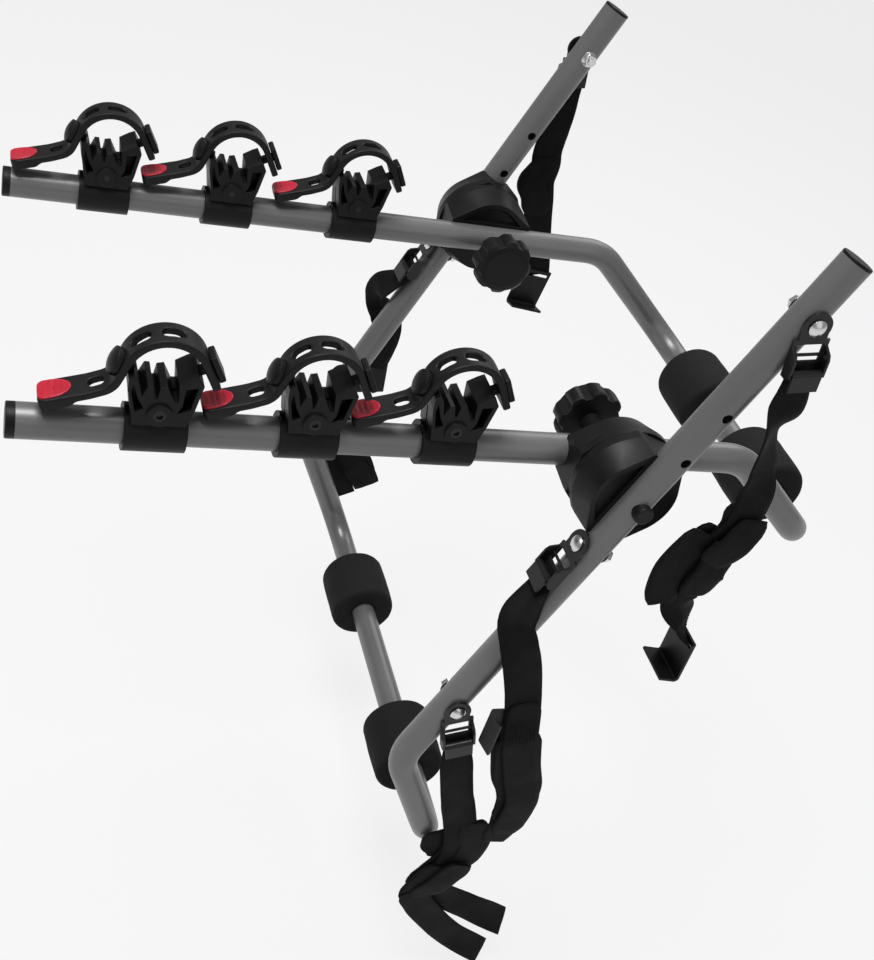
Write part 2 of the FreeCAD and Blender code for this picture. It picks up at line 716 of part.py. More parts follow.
# Each strap is one or more strips. A station gives the distance outside the lower hoop's
# half span, y, z, the twist of the width about the run, the width as a share of the webbing's,
# and the layers.
strap_strips = {
    ("right", "top"): [[
        (23.0, 91.0, 138.0, 0, 1.0, 1.0), (26.0, 88.0, 106.0, 55, 0.95, 1.5),
        (28.0, 98.0, 66.0, 25, 0.95, 1.5), (30.0, 104.0, 34.0, 0, 1.2, 2.0),
        (31.0, 104.0, 2.0, 0, 1.65, 5.0), (31.0, 93.0, -28.0, 0, 1.35, 8.0),
        (31.0, 78.0, -62.0, 0, 2.1, 9.0), (31.0, 80.0, -104.0, 0, 1.9, 7.0),
        (29.0, 100.0, -130.0, 40, 1.15, 3.0), (26.0, 113.0, -158.0, 88, 1.0, 1.5),
    ]],
    ("left", "top"): [[
        (23.0, 90.0, 130.0, 0, 1.0, 1.0), (26.0, 91.0, 82.0, 0, 1.1, 1.5),
        (27.0, 96.0, 60.0, 0, 1.3, 3.0), (27.0, 96.0, 36.0, 0, 1.7, 4.0),
        (27.0, 103.0, 12.0, 0, 1.3, 3.0), (27.0, 113.0, -24.0, 0, 1.1, 1.5),
        (26.0, 124.0, -60.0, 0, 1.1, 1.5), (25.0, 135.0, -98.0, 0, 1.05, 1.0),
    ]],
    ("right", "middle"): [[
        (23.0, -86.0, -138.0, -58, 1.1, 1.2), (35.0, -82.0, -158.0, -28, 1.15, 1.4),
        (41.5, -71.0, -186.0, -7, 1.2, 2.0), (43.5, -57.0, -226.0, 0, 1.1, 1.6),
        (45.0, -46.0, -265.0, 0, 1.1, 3.0), (45.5, -40.0, -299.0, 0, 1.5, 7.0),
        (45.5, -23.0, -351.0, 0, 1.5, 8.0), (45.5, -5.0, -401.0, 0, 1.45, 8.0),
        (45.5, -6.0, -454.0, 0, 1.3, 6.0), (45.5, -10.0, -485.0, 0, 0.8, 3.0),
    ]],
    ("left", "middle"): [[
        (21.0, -85.0, -140.0, 68, 1.0, 1.2), (33.0, -78.0, -163.0, 40, 1.0, 1.2),
        (40.0, -65.0, -185.0, 10, 1.1, 2.0), (42.0, -50.0, -210.0, 0, 1.2, 4.0),
        (43.0, -46.0, -240.0, 0, 1.2, 4.0), (43.0, -54.0, -286.0, 0, 1.0, 1.5),
    ]],
    ("right", "bottom"): [
        [
            (23.5, -82.0, -372.0, 0, 1.0, 1.0), (24.0, -66.0, -424.0, 0, 1.0, 1.0),
            (24.5, -50.0, -468.0, 0, 1.2, 3.0), (26.2, -40.0, -502.0, 0, 2.0, 7.0),
            (26.2, -36.0, -540.0, 0, 2.2, 7.0), (26.2, -50.0, -580.0, 0, 1.5, 6.0),
            (26.2, -64.0, -612.0, 0, 1.2, 3.0), (26.2, -60.0, -640.0, 0, 0.8, 2.0),
        ],
        [
            (23.0, -72.0, -596.0, 0, 0.9, 1.2), (22.5, -36.0, -622.0, 0, 1.0, 1.2),
            (22.0, 16.0, -660.0, 12, 0.97, 1.2), (21.0, 82.0, -708.0, 48, 0.95, 1.2),
        ],
        [
            (29.0, -74.0, -604.0, 0, 0.9, 1.2), (29.5, -50.0, -644.0, 0, 1.0, 1.2),
            (30.0, 2.0, -706.0, 10, 0.95, 1.2), (30.5, 64.0, -760.0, 38, 0.9, 1.2),
        ],
    ],
    ("left", "bottom"): [
        [
            (23.5, -84.0, -366.0, 0, 1.0, 1.0), (24.0, -74.0, -400.0, 0, 1.0, 1.0),
            (25.0, -58.0, -430.0, 0, 1.3, 3.0), (25.5, -40.0, -452.0, 0, 1.6, 5.0),
            (25.5, -26.0, -474.0, 0, 1.2, 4.0), (25.5, -16.0, -492.0, 0, 1.0, 2.0),
        ],
        [
            (29.0, -80.0, -440.0, 0, 0.8, 1.2), (30.0, -66.0, -476.0, 0, 0.9, 1.2),
            (30.0, -46.0, -516.0, 0, 0.9, 1.2),
        ],
    ],
}


def buckle_end(side, place):
    """First two stations: on the plate under the barrel and just past it."""
    origin, hang, out = buckle_frame(side, place)
    lift = buckle_plate + web_thick / 2.0
    near = origin + hang * (buckle_window_end + 1.0) + out * lift
    far = origin + hang * (buckle_length + 6.0) + out * lift
    width = hang.cross(out) * -1.0
    return near, far, width


def strip_sections(side, place, stations, from_buckle):
    """Centre, width direction, thickness direction, width and thickness along a strip."""
    sign = sides[side]
    inner = buckle_width - 2.0 * buckle_plate - 1.0
    points = [V(sign * (lower_half_span + x), y, z) for x, y, z, twist, share, layers in stations]
    sections = []
    if from_buckle:
        near, far, width = buckle_end(sign, place)
        origin, hang, out = buckle_frame(sign, place)
        sections.append((near, width, out, inner, web_thick))
        sections.append((far, width, out, inner, web_thick))
        points = [far] + points
        stations = [None] + stations
    for index, station in enumerate(stations):
        if station is None:
            continue
        before = points[max(index - 1, 0)]
        after = points[min(index + 1, len(points) - 1)]
        run = unit(after - before)
        level = unit(run.cross(across)) * (-1.0 if run.z > 0 else 1.0)
        normal = unit(level.cross(run)) * sign
        twist = math.radians(station[3])
        width = level * math.cos(twist) + normal * math.sin(twist)
        thick = unit(run.cross(width))
        sections.append((points[index], width, thick, web_width * station[4], web_thick * station[5]))
    return sections


def strip(sections):
    wires = []
    last = None
    for centre, width, thick, wide, deep in sections:
        if last is not None and width.dot(last) < 0:
            width = width * -1.0
        last = width
        run = width.cross(thick)
        if wires and run.dot(centre - spot) < 0:
            thick = thick * -1.0
        spot = centre
        half_w = width * (wide / 2.0)
        half_t = thick * (deep / 2.0)
        corners = [centre - half_w - half_t, centre + half_w - half_t, centre + half_w + half_t, centre - half_w + half_t]
        wires.append(Part.makePolygon(corners + corners[:1]))
    return Part.makeLoft(wires, True, True)


def webbing(side, place):
    solids = []
    for index, stations in enumerate(strap_strips[(side, place)]):
        solids.append(strip(strip_sections(side, place, stations, index == 0)))
    shape = solids[0]
    for other in solids[1:]:
        shape = shape.fuse(other)
    if (side, place) in hook_places:
        shape = shape.cut(hook(side, place, hook_slack))
    return shape


# Hooks: distance outside the half span, y and z of the plate's top, the direction down the plate
# and the direction of the lip.
hook_places = {
    ("right", "top"): ((26.0, 113.5, -150.0), (0.0, 0.04, -1.0), (0.0, -1.0, 0.25)),
    ("left", "top"): ((25.0, 134.0, -90.0), (0.0, -0.12, -0.99), (1.0, 0.0, 0.0)),
    ("right", "middle"): ((40.0, -28.0, -276.0), (0.0, -1.0, 0.0), (1.0, 0.0, 0.0)),
    ("left", "middle"): ((43.0, -55.0, -276.0), (0.0, 0.1, -0.99), (-1.0, 0.0, 0.0)),
}


def hook(side, place, grow=0.0):
    """Steel plate with a slot for the webbing and a lip bent up at its end."""
    (outside, y, z), down, lip = hook_places[(side, place)]
    spot = V(sides[side] * (lower_half_span + outside), y, z)
    down = unit(V(*down))
    lip = V(*lip)
    out = unit(lip - down * lip.dot(down))
    half = hook_width / 2.0 + grow
    points = [V(-grow, 0, 0), V(hook_length, 0, 0), V(hook_length - 5.0, 0, hook_return)]
    path = round_path(points, [hook_bend])
    corners = []
    top = hook_thick + grow
    for y, z in [(-half, -grow), (half, -grow), (half, top), (-half, top)]:
        corners.append(V(-grow, y, z))
    plate = path.makePipeShell([Part.makePolygon(corners + corners[:1])], True, False)
    low = hook_slot_width + grow
    high = 2.0 * hook_slot_width - grow
    reach = hook_slot_length / 2.0 - grow
    slot = box_between((low, -reach, -1), (high, reach, hook_thick + 1.0))
    return placed(plate.cut(slot), spot, down, out)


write("lower_tube_right", [lower_tube(1.0)])
write("lower_tube_left", [lower_tube(-1.0)])
write("lower_crossbar", [lower_crossbar()])
write("lower_end_caps", [end_plug(lower_point(sign, lower_top_reach), up_tube, lower_plug_thick) for sign in (1.0, -1.0)])
write("arm_tube_right", [arm_tube(1.0)])
write("arm_tube_left", [arm_tube(-1.0)])
write("upper_crossbar", [upper_crossbar()])
write("arm_end_caps", [end_plug(arm_point(sign, -arm_tip_reach), V(0, -1, 0), arm_plug_thick) for sign in (1.0, -1.0)])
write("hub_bolts", [hub_bolt(1.0), hub_bolt(-1.0)])
write("hub_bolt_caps", [hub_bolt_cap(1.0), hub_bolt_cap(-1.0)])

bolts = []
nuts = []
screws = []
for name, sign in sides.items():
    write("lower_pad_" + name, [pad(sign, lower_half_span, lower_pad_inset, lower_corner)])
    write("upper_pad_" + name, [pad(sign, arm_half_span, upper_pad_inset, arm_corner)])
    write("hub_outer_half_" + name, [hub_outer_half(sign)])
    write("hub_inner_half_" + name, [hub_inner_half(sign)])
    write("knob_" + name, [knob(sign)])
    for number, reach in enumerate(cradle_reach[sign], start=1):
        write("cradle_%s_%d" % (name, number), [cradle(sign, reach)])
        write("cradle_strap_%s_%d" % (name, number), cradle_strap(sign, reach))
        screws.append(cradle_screw(sign, reach))
    for place in ("top", "middle", "bottom"):
        bolts.append(strap_bolt(sign, place))
        nuts.append(strap_nut(sign, place))
        write("buckle_%s_%s" % (name, place), [buckle(sign, place)])
        write("lever_%s_%s" % (name, place), [lever(sign, place)])
        write("webbing_%s_%s" % (name, place), [webbing(name, place)])
write("cradle_screws", screws)
write("strap_bolts", bolts)
write("strap_nuts", nuts)
for name, place in hook_places:
    write("hook_%s_%s" % (name, place), [hook(name, place)])
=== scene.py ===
import bmesh
import bpy
import math
from mathutils import Matrix, Vector, noise


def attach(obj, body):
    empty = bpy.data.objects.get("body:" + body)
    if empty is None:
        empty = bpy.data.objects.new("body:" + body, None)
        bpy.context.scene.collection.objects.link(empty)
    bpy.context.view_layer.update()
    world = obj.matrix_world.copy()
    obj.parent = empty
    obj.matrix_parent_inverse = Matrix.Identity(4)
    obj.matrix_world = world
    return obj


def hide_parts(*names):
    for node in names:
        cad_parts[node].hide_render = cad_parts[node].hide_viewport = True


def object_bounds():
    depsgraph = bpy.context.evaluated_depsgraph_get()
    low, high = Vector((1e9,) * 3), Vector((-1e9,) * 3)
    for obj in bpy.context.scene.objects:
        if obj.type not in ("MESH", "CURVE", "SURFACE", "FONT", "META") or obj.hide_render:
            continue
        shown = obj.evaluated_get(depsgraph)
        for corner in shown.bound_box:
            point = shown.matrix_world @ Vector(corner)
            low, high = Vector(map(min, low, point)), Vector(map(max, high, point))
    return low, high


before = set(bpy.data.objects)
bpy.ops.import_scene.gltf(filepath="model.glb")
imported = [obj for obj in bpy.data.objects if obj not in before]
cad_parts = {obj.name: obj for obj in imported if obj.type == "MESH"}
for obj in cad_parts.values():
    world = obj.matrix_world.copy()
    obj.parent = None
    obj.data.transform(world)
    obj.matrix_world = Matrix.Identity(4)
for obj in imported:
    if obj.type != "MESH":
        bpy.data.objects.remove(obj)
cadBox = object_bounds()
mm = 0.001
across = Vector((1, 0, 0))
sides = {"right": 1.0, "left": -1.0}
print("carrier frame loaded:", len(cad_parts), "solids")

# camera, at the photograph's angle
photoCamera = {
    "spot": (1.07892, -0.61307, 0.67017),
    "azimuth": 63.0,
    "elevation": 36.3,
    "roll": 19.15,
    "focalPixels": 1242.26,
    "frameHeight": 960,
    "sensor": 36.0,
    "near": 0.05,
    "far": 60.0,
}


def addCamera(values):
    turn = math.radians(values["azimuth"])
    rise = math.radians(values["elevation"])
    roll = math.radians(values["roll"])
    back = Vector((math.sin(turn) * math.cos(rise), -math.cos(turn) * math.cos(rise), math.sin(rise)))
    right = (-back).cross(Vector((0, 0, 1))).normalized()
    up = right.cross(-back)
    cameraX = right * math.cos(roll) + up * math.sin(roll)
    cameraY = up * math.cos(roll) - right * math.sin(roll)
    data = bpy.data.cameras.new("photoCamera")
    data.sensor_width = values["sensor"]
    data.lens = values["focalPixels"] / values["frameHeight"] * values["sensor"]
    data.clip_start = values["near"]
    data.clip_end = values["far"]
    camera = bpy.data.objects.new("photoCamera", data)
    bpy.context.scene.collection.objects.link(camera)
    turned = Matrix((cameraX, cameraY, back)).transposed().to_4x4()
    camera.matrix_world = Matrix.Translation(Vector(values["spot"])) @ turned
    bpy.context.scene.camera = camera


addCamera(photoCamera)
bpy.context.scene.view_settings.view_transform = "Standard"
print("camera placed")

# shader node groups, shared by the finishes
pattern = {
    "grainDetail": 3.0, "patchDetail": 4.0, "poreSharpness": 0.6, "poreShade": 0.9,
    "cordsPerRib": 0.8, "cordDepth": 0.45, "cordBase": 0.55,
}


def newGroup(name, numberInputs, outputs):
    group = bpy.data.node_groups.new(name, "ShaderNodeTree")
    group.interface.new_socket(name="Spot", in_out="INPUT", socket_type="NodeSocketVector")
    for label, value in numberInputs:
        socket = group.interface.new_socket(name=label, in_out="INPUT", socket_type="NodeSocketFloat")
        socket.default_value = value
    for label in outputs:
        group.interface.new_socket(name=label, in_out="OUTPUT", socket_type="NodeSocketFloat")
    nodes = group.nodes
    return group, nodes.new("NodeGroupInput"), nodes.new("NodeGroupOutput")


def addNode(tree, kind, **values):
    node = tree.nodes.new(kind)
    for label, value in values.items():
        setattr(node, label, value)
    return node


def maths(tree, operation, first, second=None):
    node = addNode(tree, "ShaderNodeMath", operation=operation)
    for index, value in enumerate((first, second)):
        if value is None:
            continue
        if isinstance(value, (int, float)):
            node.inputs[index].default_value = value
        else:
            tree.links.new(value, node.inputs[index])
    return node.outputs[0]


def buildFineGrain():
    group, given, result = newGroup("fineGrain", [("Scale", 900.0), ("Rough", 0.6)], ["Height"])
    small = addNode(group, "ShaderNodeTexNoise")
    small.inputs["Detail"].default_value = pattern["grainDetail"]
    group.links.new(given.outputs["Spot"], small.inputs["Vector"])
    group.links.new(given.outputs["Scale"], small.inputs["Scale"])
    group.links.new(given.outputs["Rough"], small.inputs["Roughness"])
    group.links.new(small.outputs["Fac"], result.inputs["Height"])
    return group


def buildPatches():
    group, given, result = newGroup("softPatches", [("Scale", 14.0), ("Contrast", 2.2)], ["Mask"])
    cloud = addNode(group, "ShaderNodeTexNoise")
    cloud.inputs["Detail"].default_value = pattern["patchDetail"]
    group.links.new(given.outputs["Spot"], cloud.inputs["Vector"])
    group.links.new(given.outputs["Scale"], cloud.inputs["Scale"])
    centred = maths(group, "SUBTRACT", cloud.outputs["Fac"], 0.5)
    wide = maths(group, "MULTIPLY", centred, given.outputs["Contrast"])
    lifted = maths(group, "ADD", wide, 0.5)
    clipped = maths(group, "MINIMUM", maths(group, "MAXIMUM", lifted, 0.0), 1.0)
    group.links.new(clipped, result.inputs["Mask"])
    return group


def buildPores():
    group, given, result = newGroup("foamPores", [("Scale", 520.0)], ["Height", "PaintedShade"])
    cells = addNode(group, "ShaderNodeTexVoronoi", feature="F1")
    group.links.new(given.outputs["Spot"], cells.inputs["Vector"])
    group.links.new(given.outputs["Scale"], cells.inputs["Scale"])
    pits = maths(group, "POWER", cells.outputs["Distance"], pattern["poreSharpness"])
    group.links.new(pits, result.inputs["Height"])
    # painted shade: the pits are drawn darker in the colour, as shade falling into the pores
    paintedPitShade = maths(group, "MULTIPLY", pits, pattern["poreShade"])
    group.links.new(paintedPitShade, result.inputs["PaintedShade"])
    return group


def buildWeave():
    group, given, result = newGroup(
        "webWeave", [("Rib", 0.0016), ("Zigzag", 0.0095), ("Slope", 0.55)], ["Height", "PaintedShade"]
    )
    parts = addNode(group, "ShaderNodeSeparateXYZ")
    group.links.new(given.outputs["Spot"], parts.inputs[0])
    band = maths(group, "DIVIDE", parts.outputs["X"], given.outputs["Zigzag"])
    fold = maths(group, "PINGPONG", band, 1.0)
    width = maths(group, "MULTIPLY", fold, given.outputs["Zigzag"])
    slant = maths(group, "MULTIPLY", width, given.outputs["Slope"])
    along = maths(group, "ADD", parts.outputs["Y"], slant)
    rows = maths(group, "MULTIPLY", maths(group, "DIVIDE", along, given.outputs["Rib"]), math.pi)
    rib = maths(group, "ABSOLUTE", maths(group, "SINE", rows))
    ribs = maths(group, "DIVIDE", parts.outputs["X"], given.outputs["Rib"])
    columns = maths(group, "MULTIPLY", ribs, math.pi * pattern["cordsPerRib"])
    cord = maths(group, "ABSOLUTE", maths(group, "SINE", columns))
    sunk = maths(group, "MULTIPLY", cord, pattern["cordDepth"])
    both = maths(group, "MULTIPLY", rib, maths(group, "ADD", sunk, pattern["cordBase"]))
    # the same height also goes out as painted shade, darkening the grooves between ribs and cords
    group.links.new(both, result.inputs["Height"])
    group.links.new(both, result.inputs["PaintedShade"])
    return group


fineGrain = buildFineGrain()
softPatches = buildPatches()
foamPores = buildPores()
webWeave = buildWeave()

# finishes
shared = {
    "contrast": 2.4, "grainRough": 0.6, "cloudy": 0.6, "speckled": 0.4, "weaveLift": 0.35,
    "coatRough": 0.2, "edgeSamples": 6,
}
finishes = {
    "tubePaint": {
        "base": (0.140, 0.140, 0.142), "worn": (0.172, 0.172, 0.174),
        "metal": 0.35, "rough": (0.34, 0.42), "shine": 0.42,
        "patch": 9.0, "grain": 2600.0, "bump": 0.05, "depth": 0.0002, "coat": 0.12, "soft": 0.0,
    },
    "mouldedPlastic": {
        "base": (0.0048, 0.0048, 0.0050), "worn": (0.0090, 0.0090, 0.0094),
        "metal": 0.0, "rough": (0.36, 0.50), "shine": 0.17,
        "patch": 26.0, "grain": 1500.0, "bump": 0.16, "depth": 0.0004, "coat": 0.0, "soft": 0.0009,
    },
    "strapRubber": {
        "base": (0.0055, 0.0055, 0.0057), "worn": (0.0105, 0.0105, 0.0109),
        "metal": 0.0, "rough": (0.40, 0.56), "shine": 0.2,
        "patch": 34.0, "grain": 1100.0, "bump": 0.14, "depth": 0.0004, "coat": 0.0, "soft": 0.0,
    },
    "foamSkin": {
        "base": (0.0075, 0.0075, 0.0075), "worn": (0.0165, 0.0165, 0.0165),
        "metal": 0.0, "rough": (0.74, 0.9), "shine": 0.2,
        "patch": 30.0, "grain": 700.0, "bump": 0.55, "depth": 0.0006, "coat": 0.0, "soft": 0.0,
        "pores": 620.0,
    },
    "pullTabRed": {
        "base": (0.37, 0.007, 0.022), "worn": (0.48, 0.016, 0.038),
        "metal": 0.0, "rough": (0.30, 0.42), "shine": 0.35,
        "patch": 60.0, "grain": 1300.0, "bump": 0.08, "depth": 0.0003, "coat": 0.15, "soft": 0.0,
    },
    "brightZinc": {
        "base": (0.62, 0.62, 0.62), "worn": (0.74, 0.74, 0.73),
        "metal": 1.0, "rough": (0.20, 0.34), "shine": 0.5,
        "patch": 70.0, "grain": 1800.0, "bump": 0.06, "depth": 0.0002, "coat": 0.0, "soft": 0.0003,
    },
    "blackSteel": {
        "base": (0.0075, 0.0075, 0.0080), "worn": (0.015, 0.015, 0.0155),
        "metal": 0.15, "rough": (0.26, 0.38), "shine": 0.28,
        "patch": 50.0, "grain": 1700.0, "bump": 0.07, "depth": 0.0002, "coat": 0.06, "soft": 0.0005,
    },
    "hookCoating": {
        "base": (0.0050, 0.0050, 0.0052), "worn": (0.0090, 0.0090, 0.0094),
        "metal": 0.0, "rough": (0.36, 0.48), "shine": 0.2,
        "patch": 40.0, "grain": 900.0, "bump": 0.12, "depth": 0.0004, "coat": 0.0, "soft": 0.0009,
    },
    "blackWebbing": {
        "base": (0.0028, 0.0028, 0.0030), "worn": (0.0095, 0.0095, 0.0101),
        "metal": 0.0, "rough": (0.55, 0.72), "shine": 0.1,
        "patch": 22.0, "grain": 2200.0, "bump": 0.5, "depth": 0.0005, "coat": 0.0, "soft": 0.0,
        "weave": True,
    },
}


def placeGroup(tree, group, spot, **values):
    node = addNode(tree, "ShaderNodeGroup", node_tree=group)
    tree.links.new(spot, node.inputs["Spot"])
    for label, value in values.items():
        node.inputs[label].default_value = value
    return node


def makeFinish(name, values):
    material = bpy.data.materials.new(name)
    material.use_nodes = True
    tree = material.node_tree
    tree.nodes.clear()
    output = addNode(tree, "ShaderNodeOutputMaterial")
    shader = addNode(tree, "ShaderNodeBsdfPrincipled")
    tree.links.new(shader.outputs[0], output.inputs["Surface"])
    spot = addNode(tree, "ShaderNodeTexCoord").outputs["Object"]
    patches = placeGroup(tree, softPatches, spot, Scale=values["patch"], Contrast=shared["contrast"])
    grain = placeGroup(tree, fineGrain, spot, Scale=values["grain"], Rough=shared["grainRough"])
    cloudy = maths(tree, "MULTIPLY", patches.outputs["Mask"], shared["cloudy"])
    speckled = maths(tree, "MULTIPLY", grain.outputs["Height"], shared["speckled"])
    shade = maths(tree, "ADD", cloudy, speckled)
    height = grain.outputs["Height"]
    # on foam the colour is also darkened in the pores, as painted shade on top of the random tone
    if "pores" in values:
        pores = placeGroup(tree, foamPores, spot, Scale=values["pores"])
        height = pores.outputs["Height"]
        shade = maths(tree, "MULTIPLY", shade, pores.outputs["PaintedShade"])
    # on webbing the colour is also darkened in the weave's grooves, as painted shade
    if "weave" in values:
        threads = addNode(tree, "ShaderNodeAttribute", attribute_name="weaveSpot")
        weave = placeGroup(tree, webWeave, threads.outputs["Vector"])
        height = weave.outputs["Height"]
        lifted = maths(tree, "ADD", shade, shared["weaveLift"])
        shade = maths(tree, "MULTIPLY", lifted, weave.outputs["PaintedShade"])
    blend = addNode(tree, "ShaderNodeMix", data_type="RGBA")
    blend.inputs["A"].default_value = (*values["base"], 1)
    blend.inputs["B"].default_value = (*values["worn"], 1)
    tree.links.new(shade, blend.inputs[0])
    colourOut = [o for o in blend.outputs if o.type == "RGBA"][0]
    tree.links.new(colourOut, shader.inputs["Base Color"])
    spread = addNode(tree, "ShaderNodeMapRange")
    spread.inputs["To Min"].default_value = values["rough"][0]
    spread.inputs["To Max"].default_value = values["rough"][1]
    tree.links.new(patches.outputs["Mask"], spread.inputs["Value"])
    tree.links.new(spread.outputs[0], shader.inputs["Roughness"])
    shader.inputs["Metallic"].default_value = values["metal"]
    shader.inputs["Specular IOR Level"].default_value = values["shine"]
    shader.inputs["Coat Weight"].default_value = values["coat"]
    shader.inputs["Coat Roughness"].default_value = shared["coatRough"]
    bump = addNode(tree, "ShaderNodeBump")
    bump.inputs["Strength"].default_value = values["bump"]
    bump.inputs["Distance"].default_value = values["depth"]
    tree.links.new(height, bump.inputs["Height"])
    if values["soft"] > 0:
        rounded = addNode(tree, "ShaderNodeBevel", samples=shared["edgeSamples"])
        rounded.inputs["Radius"].default_value = values["soft"]
        tree.links.new(rounded.outputs[0], bump.inputs["Normal"])
    tree.links.new(bump.outputs[0], shader.inputs["Normal"])
    return material


materials = {name: makeFinish(name, values) for name, values in finishes.items()}
print("finishes made:", len(materials))

# the finish of every solid, by the start of its name; also of those that a soft piece replaces
nodeFinish = [
    ("tubePaint", ("lower_tube", "lower_crossbar", "arm_tube", "upper_crossbar")),
    ("mouldedPlastic", (
        "lower_end_caps", "arm_end_caps", "hub_outer", "hub_inner", "hub_bolt_caps", "knob",
        "cradle_right", "cradle_left",
    )),
    ("brightZinc", ("hub_bolts", "strap_bolts", "strap_nuts")),
    ("blackSteel", ("buckle", "lever", "cradle_screws")),
    ("hookCoating", ("hook",)),
    ("strapRubber", ("cradle_strap",)),
    ("foamSkin", ("lower_pad", "upper_pad")),
    ("blackWebbing", ("webbing",)),
]


def paintNode(node, material):
    if not node.material_slots:
        node.data.materials.append(material)
    for spot in node.material_slots:
        spot.material = material


for finish, starts in nodeFinish:
    for nodeName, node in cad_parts.items():
        if nodeName.startswith(starts):
            paintNode(node, materials[finish])
print("solids painted")


def addPiece(name, points, faces, finish, body, replaced=()):
    mesh = bpy.data.meshes.new(name)
    mesh.from_pydata([Vector(p) * mm for p in points], [], faces)
    mesh.validate()
    mesh.update()
    return dressPiece(name, mesh, finish, body, replaced)


def dressPiece(name, mesh, finish, body, replaced=()):
    piece = bpy.data.objects.new(name, mesh)
    bpy.context.scene.collection.objects.link(piece)
    mesh.materials.clear()
    mesh.materials.append(materials[finish])
    mesh.polygons.foreach_set("use_smooth", [True] * len(mesh.polygons))
    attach(piece, body)
    if replaced:
        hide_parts(*replaced)
    return piece


# tube lines that the soft pieces hang on, as in the solids
hoops = {
    "lowerHalfSpan": 286.0, "lean": 69.6, "lowerBendReach": 405.0, "lowerKick": 63.3,
    "lowerKickLength": 191.0, "armHalfSpan": 210.0, "armBendReach": 161.6, "armKick": 40.0,
    "armKickLength": 186.0, "tubeRadius": 16.0,
}
lean = math.radians(hoops["lean"])
upTube = Vector((0, math.cos(lean), math.sin(lean)))
offTube = Vector((0, -math.sin(lean), math.cos(lean)))


def kickDirection(degrees):
    return Vector((0, math.cos(math.radians(degrees)), -math.sin(math.radians(degrees))))


lowerKick, armKick = kickDirection(hoops["lowerKick"]), kickDirection(hoops["armKick"])
lowerCorner = upTube * -hoops["lowerBendReach"] + lowerKick * hoops["lowerKickLength"]
armCorner = Vector((0, hoops["armBendReach"], 0)) + armKick * hoops["armKickLength"]

# foam rollers
roller = {
    "radius": 45.0, "length": 82.0, "edge": 7.0, "bore": 16.05, "crown": 0.9, "dish": 1.2,
    "unevenness": 0.45, "broad": 0.045, "fine": 0.13, "fineShare": 0.4, "lowerOffset": 138.0,
    "upperOffset": 83.0, "segments": 112, "faceSteps": 16, "edgeSteps": 7, "dishSteps": 8, "lip": 2.5,
    "mouth": 0.9, "mouthStart": 0.4, "mouthDepth": 2.0, "plainBore": 1.0,
    "lowerSeed": 3.1, "upperSeed": 7.7,
}


def rollerProfile(values):
    half = values["length"] / 2.0
    edge = values["edge"]
    faceSteps, edgeSteps, dishSteps = values["faceSteps"], values["edgeSteps"], values["dishSteps"]
    points = []
    for step in range(faceSteps + 1):
        x = -(half - edge) + step * 2.0 * (half - edge) / faceSteps
        points.append((x, values["radius"] - values["crown"] * (x / half) ** 2))
    shoulder = points[-1][1] - edge
    for step in range(1, edgeSteps + 1):
        angle = math.radians(90 - step * 90 / edgeSteps)
        points.append((half - edge + edge * math.cos(angle), shoulder + edge * math.sin(angle)))
    lip = values["bore"] + values["lip"]
    for step in range(1, dishSteps):
        share = step / dishSteps
        sunk = values["dish"] * math.sin(share * math.pi * 0.5)
        points.append((half - sunk, shoulder + (lip - shoulder) * share))
    points.append((half - values["dish"] - values["mouthStart"], values["bore"] + values["mouth"]))
    points.append((half - values["dish"] - values["mouthDepth"], values["bore"]))
    mirrored = [(-x, r) for x, r in reversed(points[faceSteps + 1:])]
    return points + mirrored


def addRoller(name, centre, values, body, seed):
    profile = rollerProfile(values)
    count = values["segments"]
    points = []
    for index in range(count):
        angle = math.tau * index / count
        for x, radius in profile:
            spot = Vector((x, radius * math.cos(angle), radius * math.sin(angle)))
            soft = noise.noise(spot * values["broad"] + Vector((seed, 0, 0)))
            soft += values["fineShare"] * noise.noise(spot * values["fine"] + Vector((0, seed, 0)))
            if radius > values["bore"] + values["plainBore"]:
                outward = Vector((0, spot.y, spot.z)).normalized()
                spot = spot + outward * (soft * values["unevenness"] - values["unevenness"])
            points.append(centre + spot)
    ring = len(profile)
    faces = []
    for index in range(count):
        here, after = index * ring, (index + 1) % count * ring
        for step in range(ring):
            onward = (step + 1) % ring
            faces.append((here + step, here + onward, after + onward, after + step))
    piece = addPiece(name + "_foam", points, faces, "foamSkin", body, (name,))


for number, (sideName, sign) in enumerate(sides.items()):
    lowerSpot = lowerCorner + across * sign * roller["lowerOffset"]
    upperSpot = armCorner + across * sign * roller["upperOffset"]
    lowerSeed, upperSeed = roller["lowerSeed"] + number, roller["upperSeed"] + number
    addRoller("lower_pad_" + sideName, lowerSpot, roller, "lower_frame", lowerSeed)
    addRoller("upper_pad_" + sideName, upperSpot, roller, "carrier_arms", upperSeed)
print("foam rollers made")

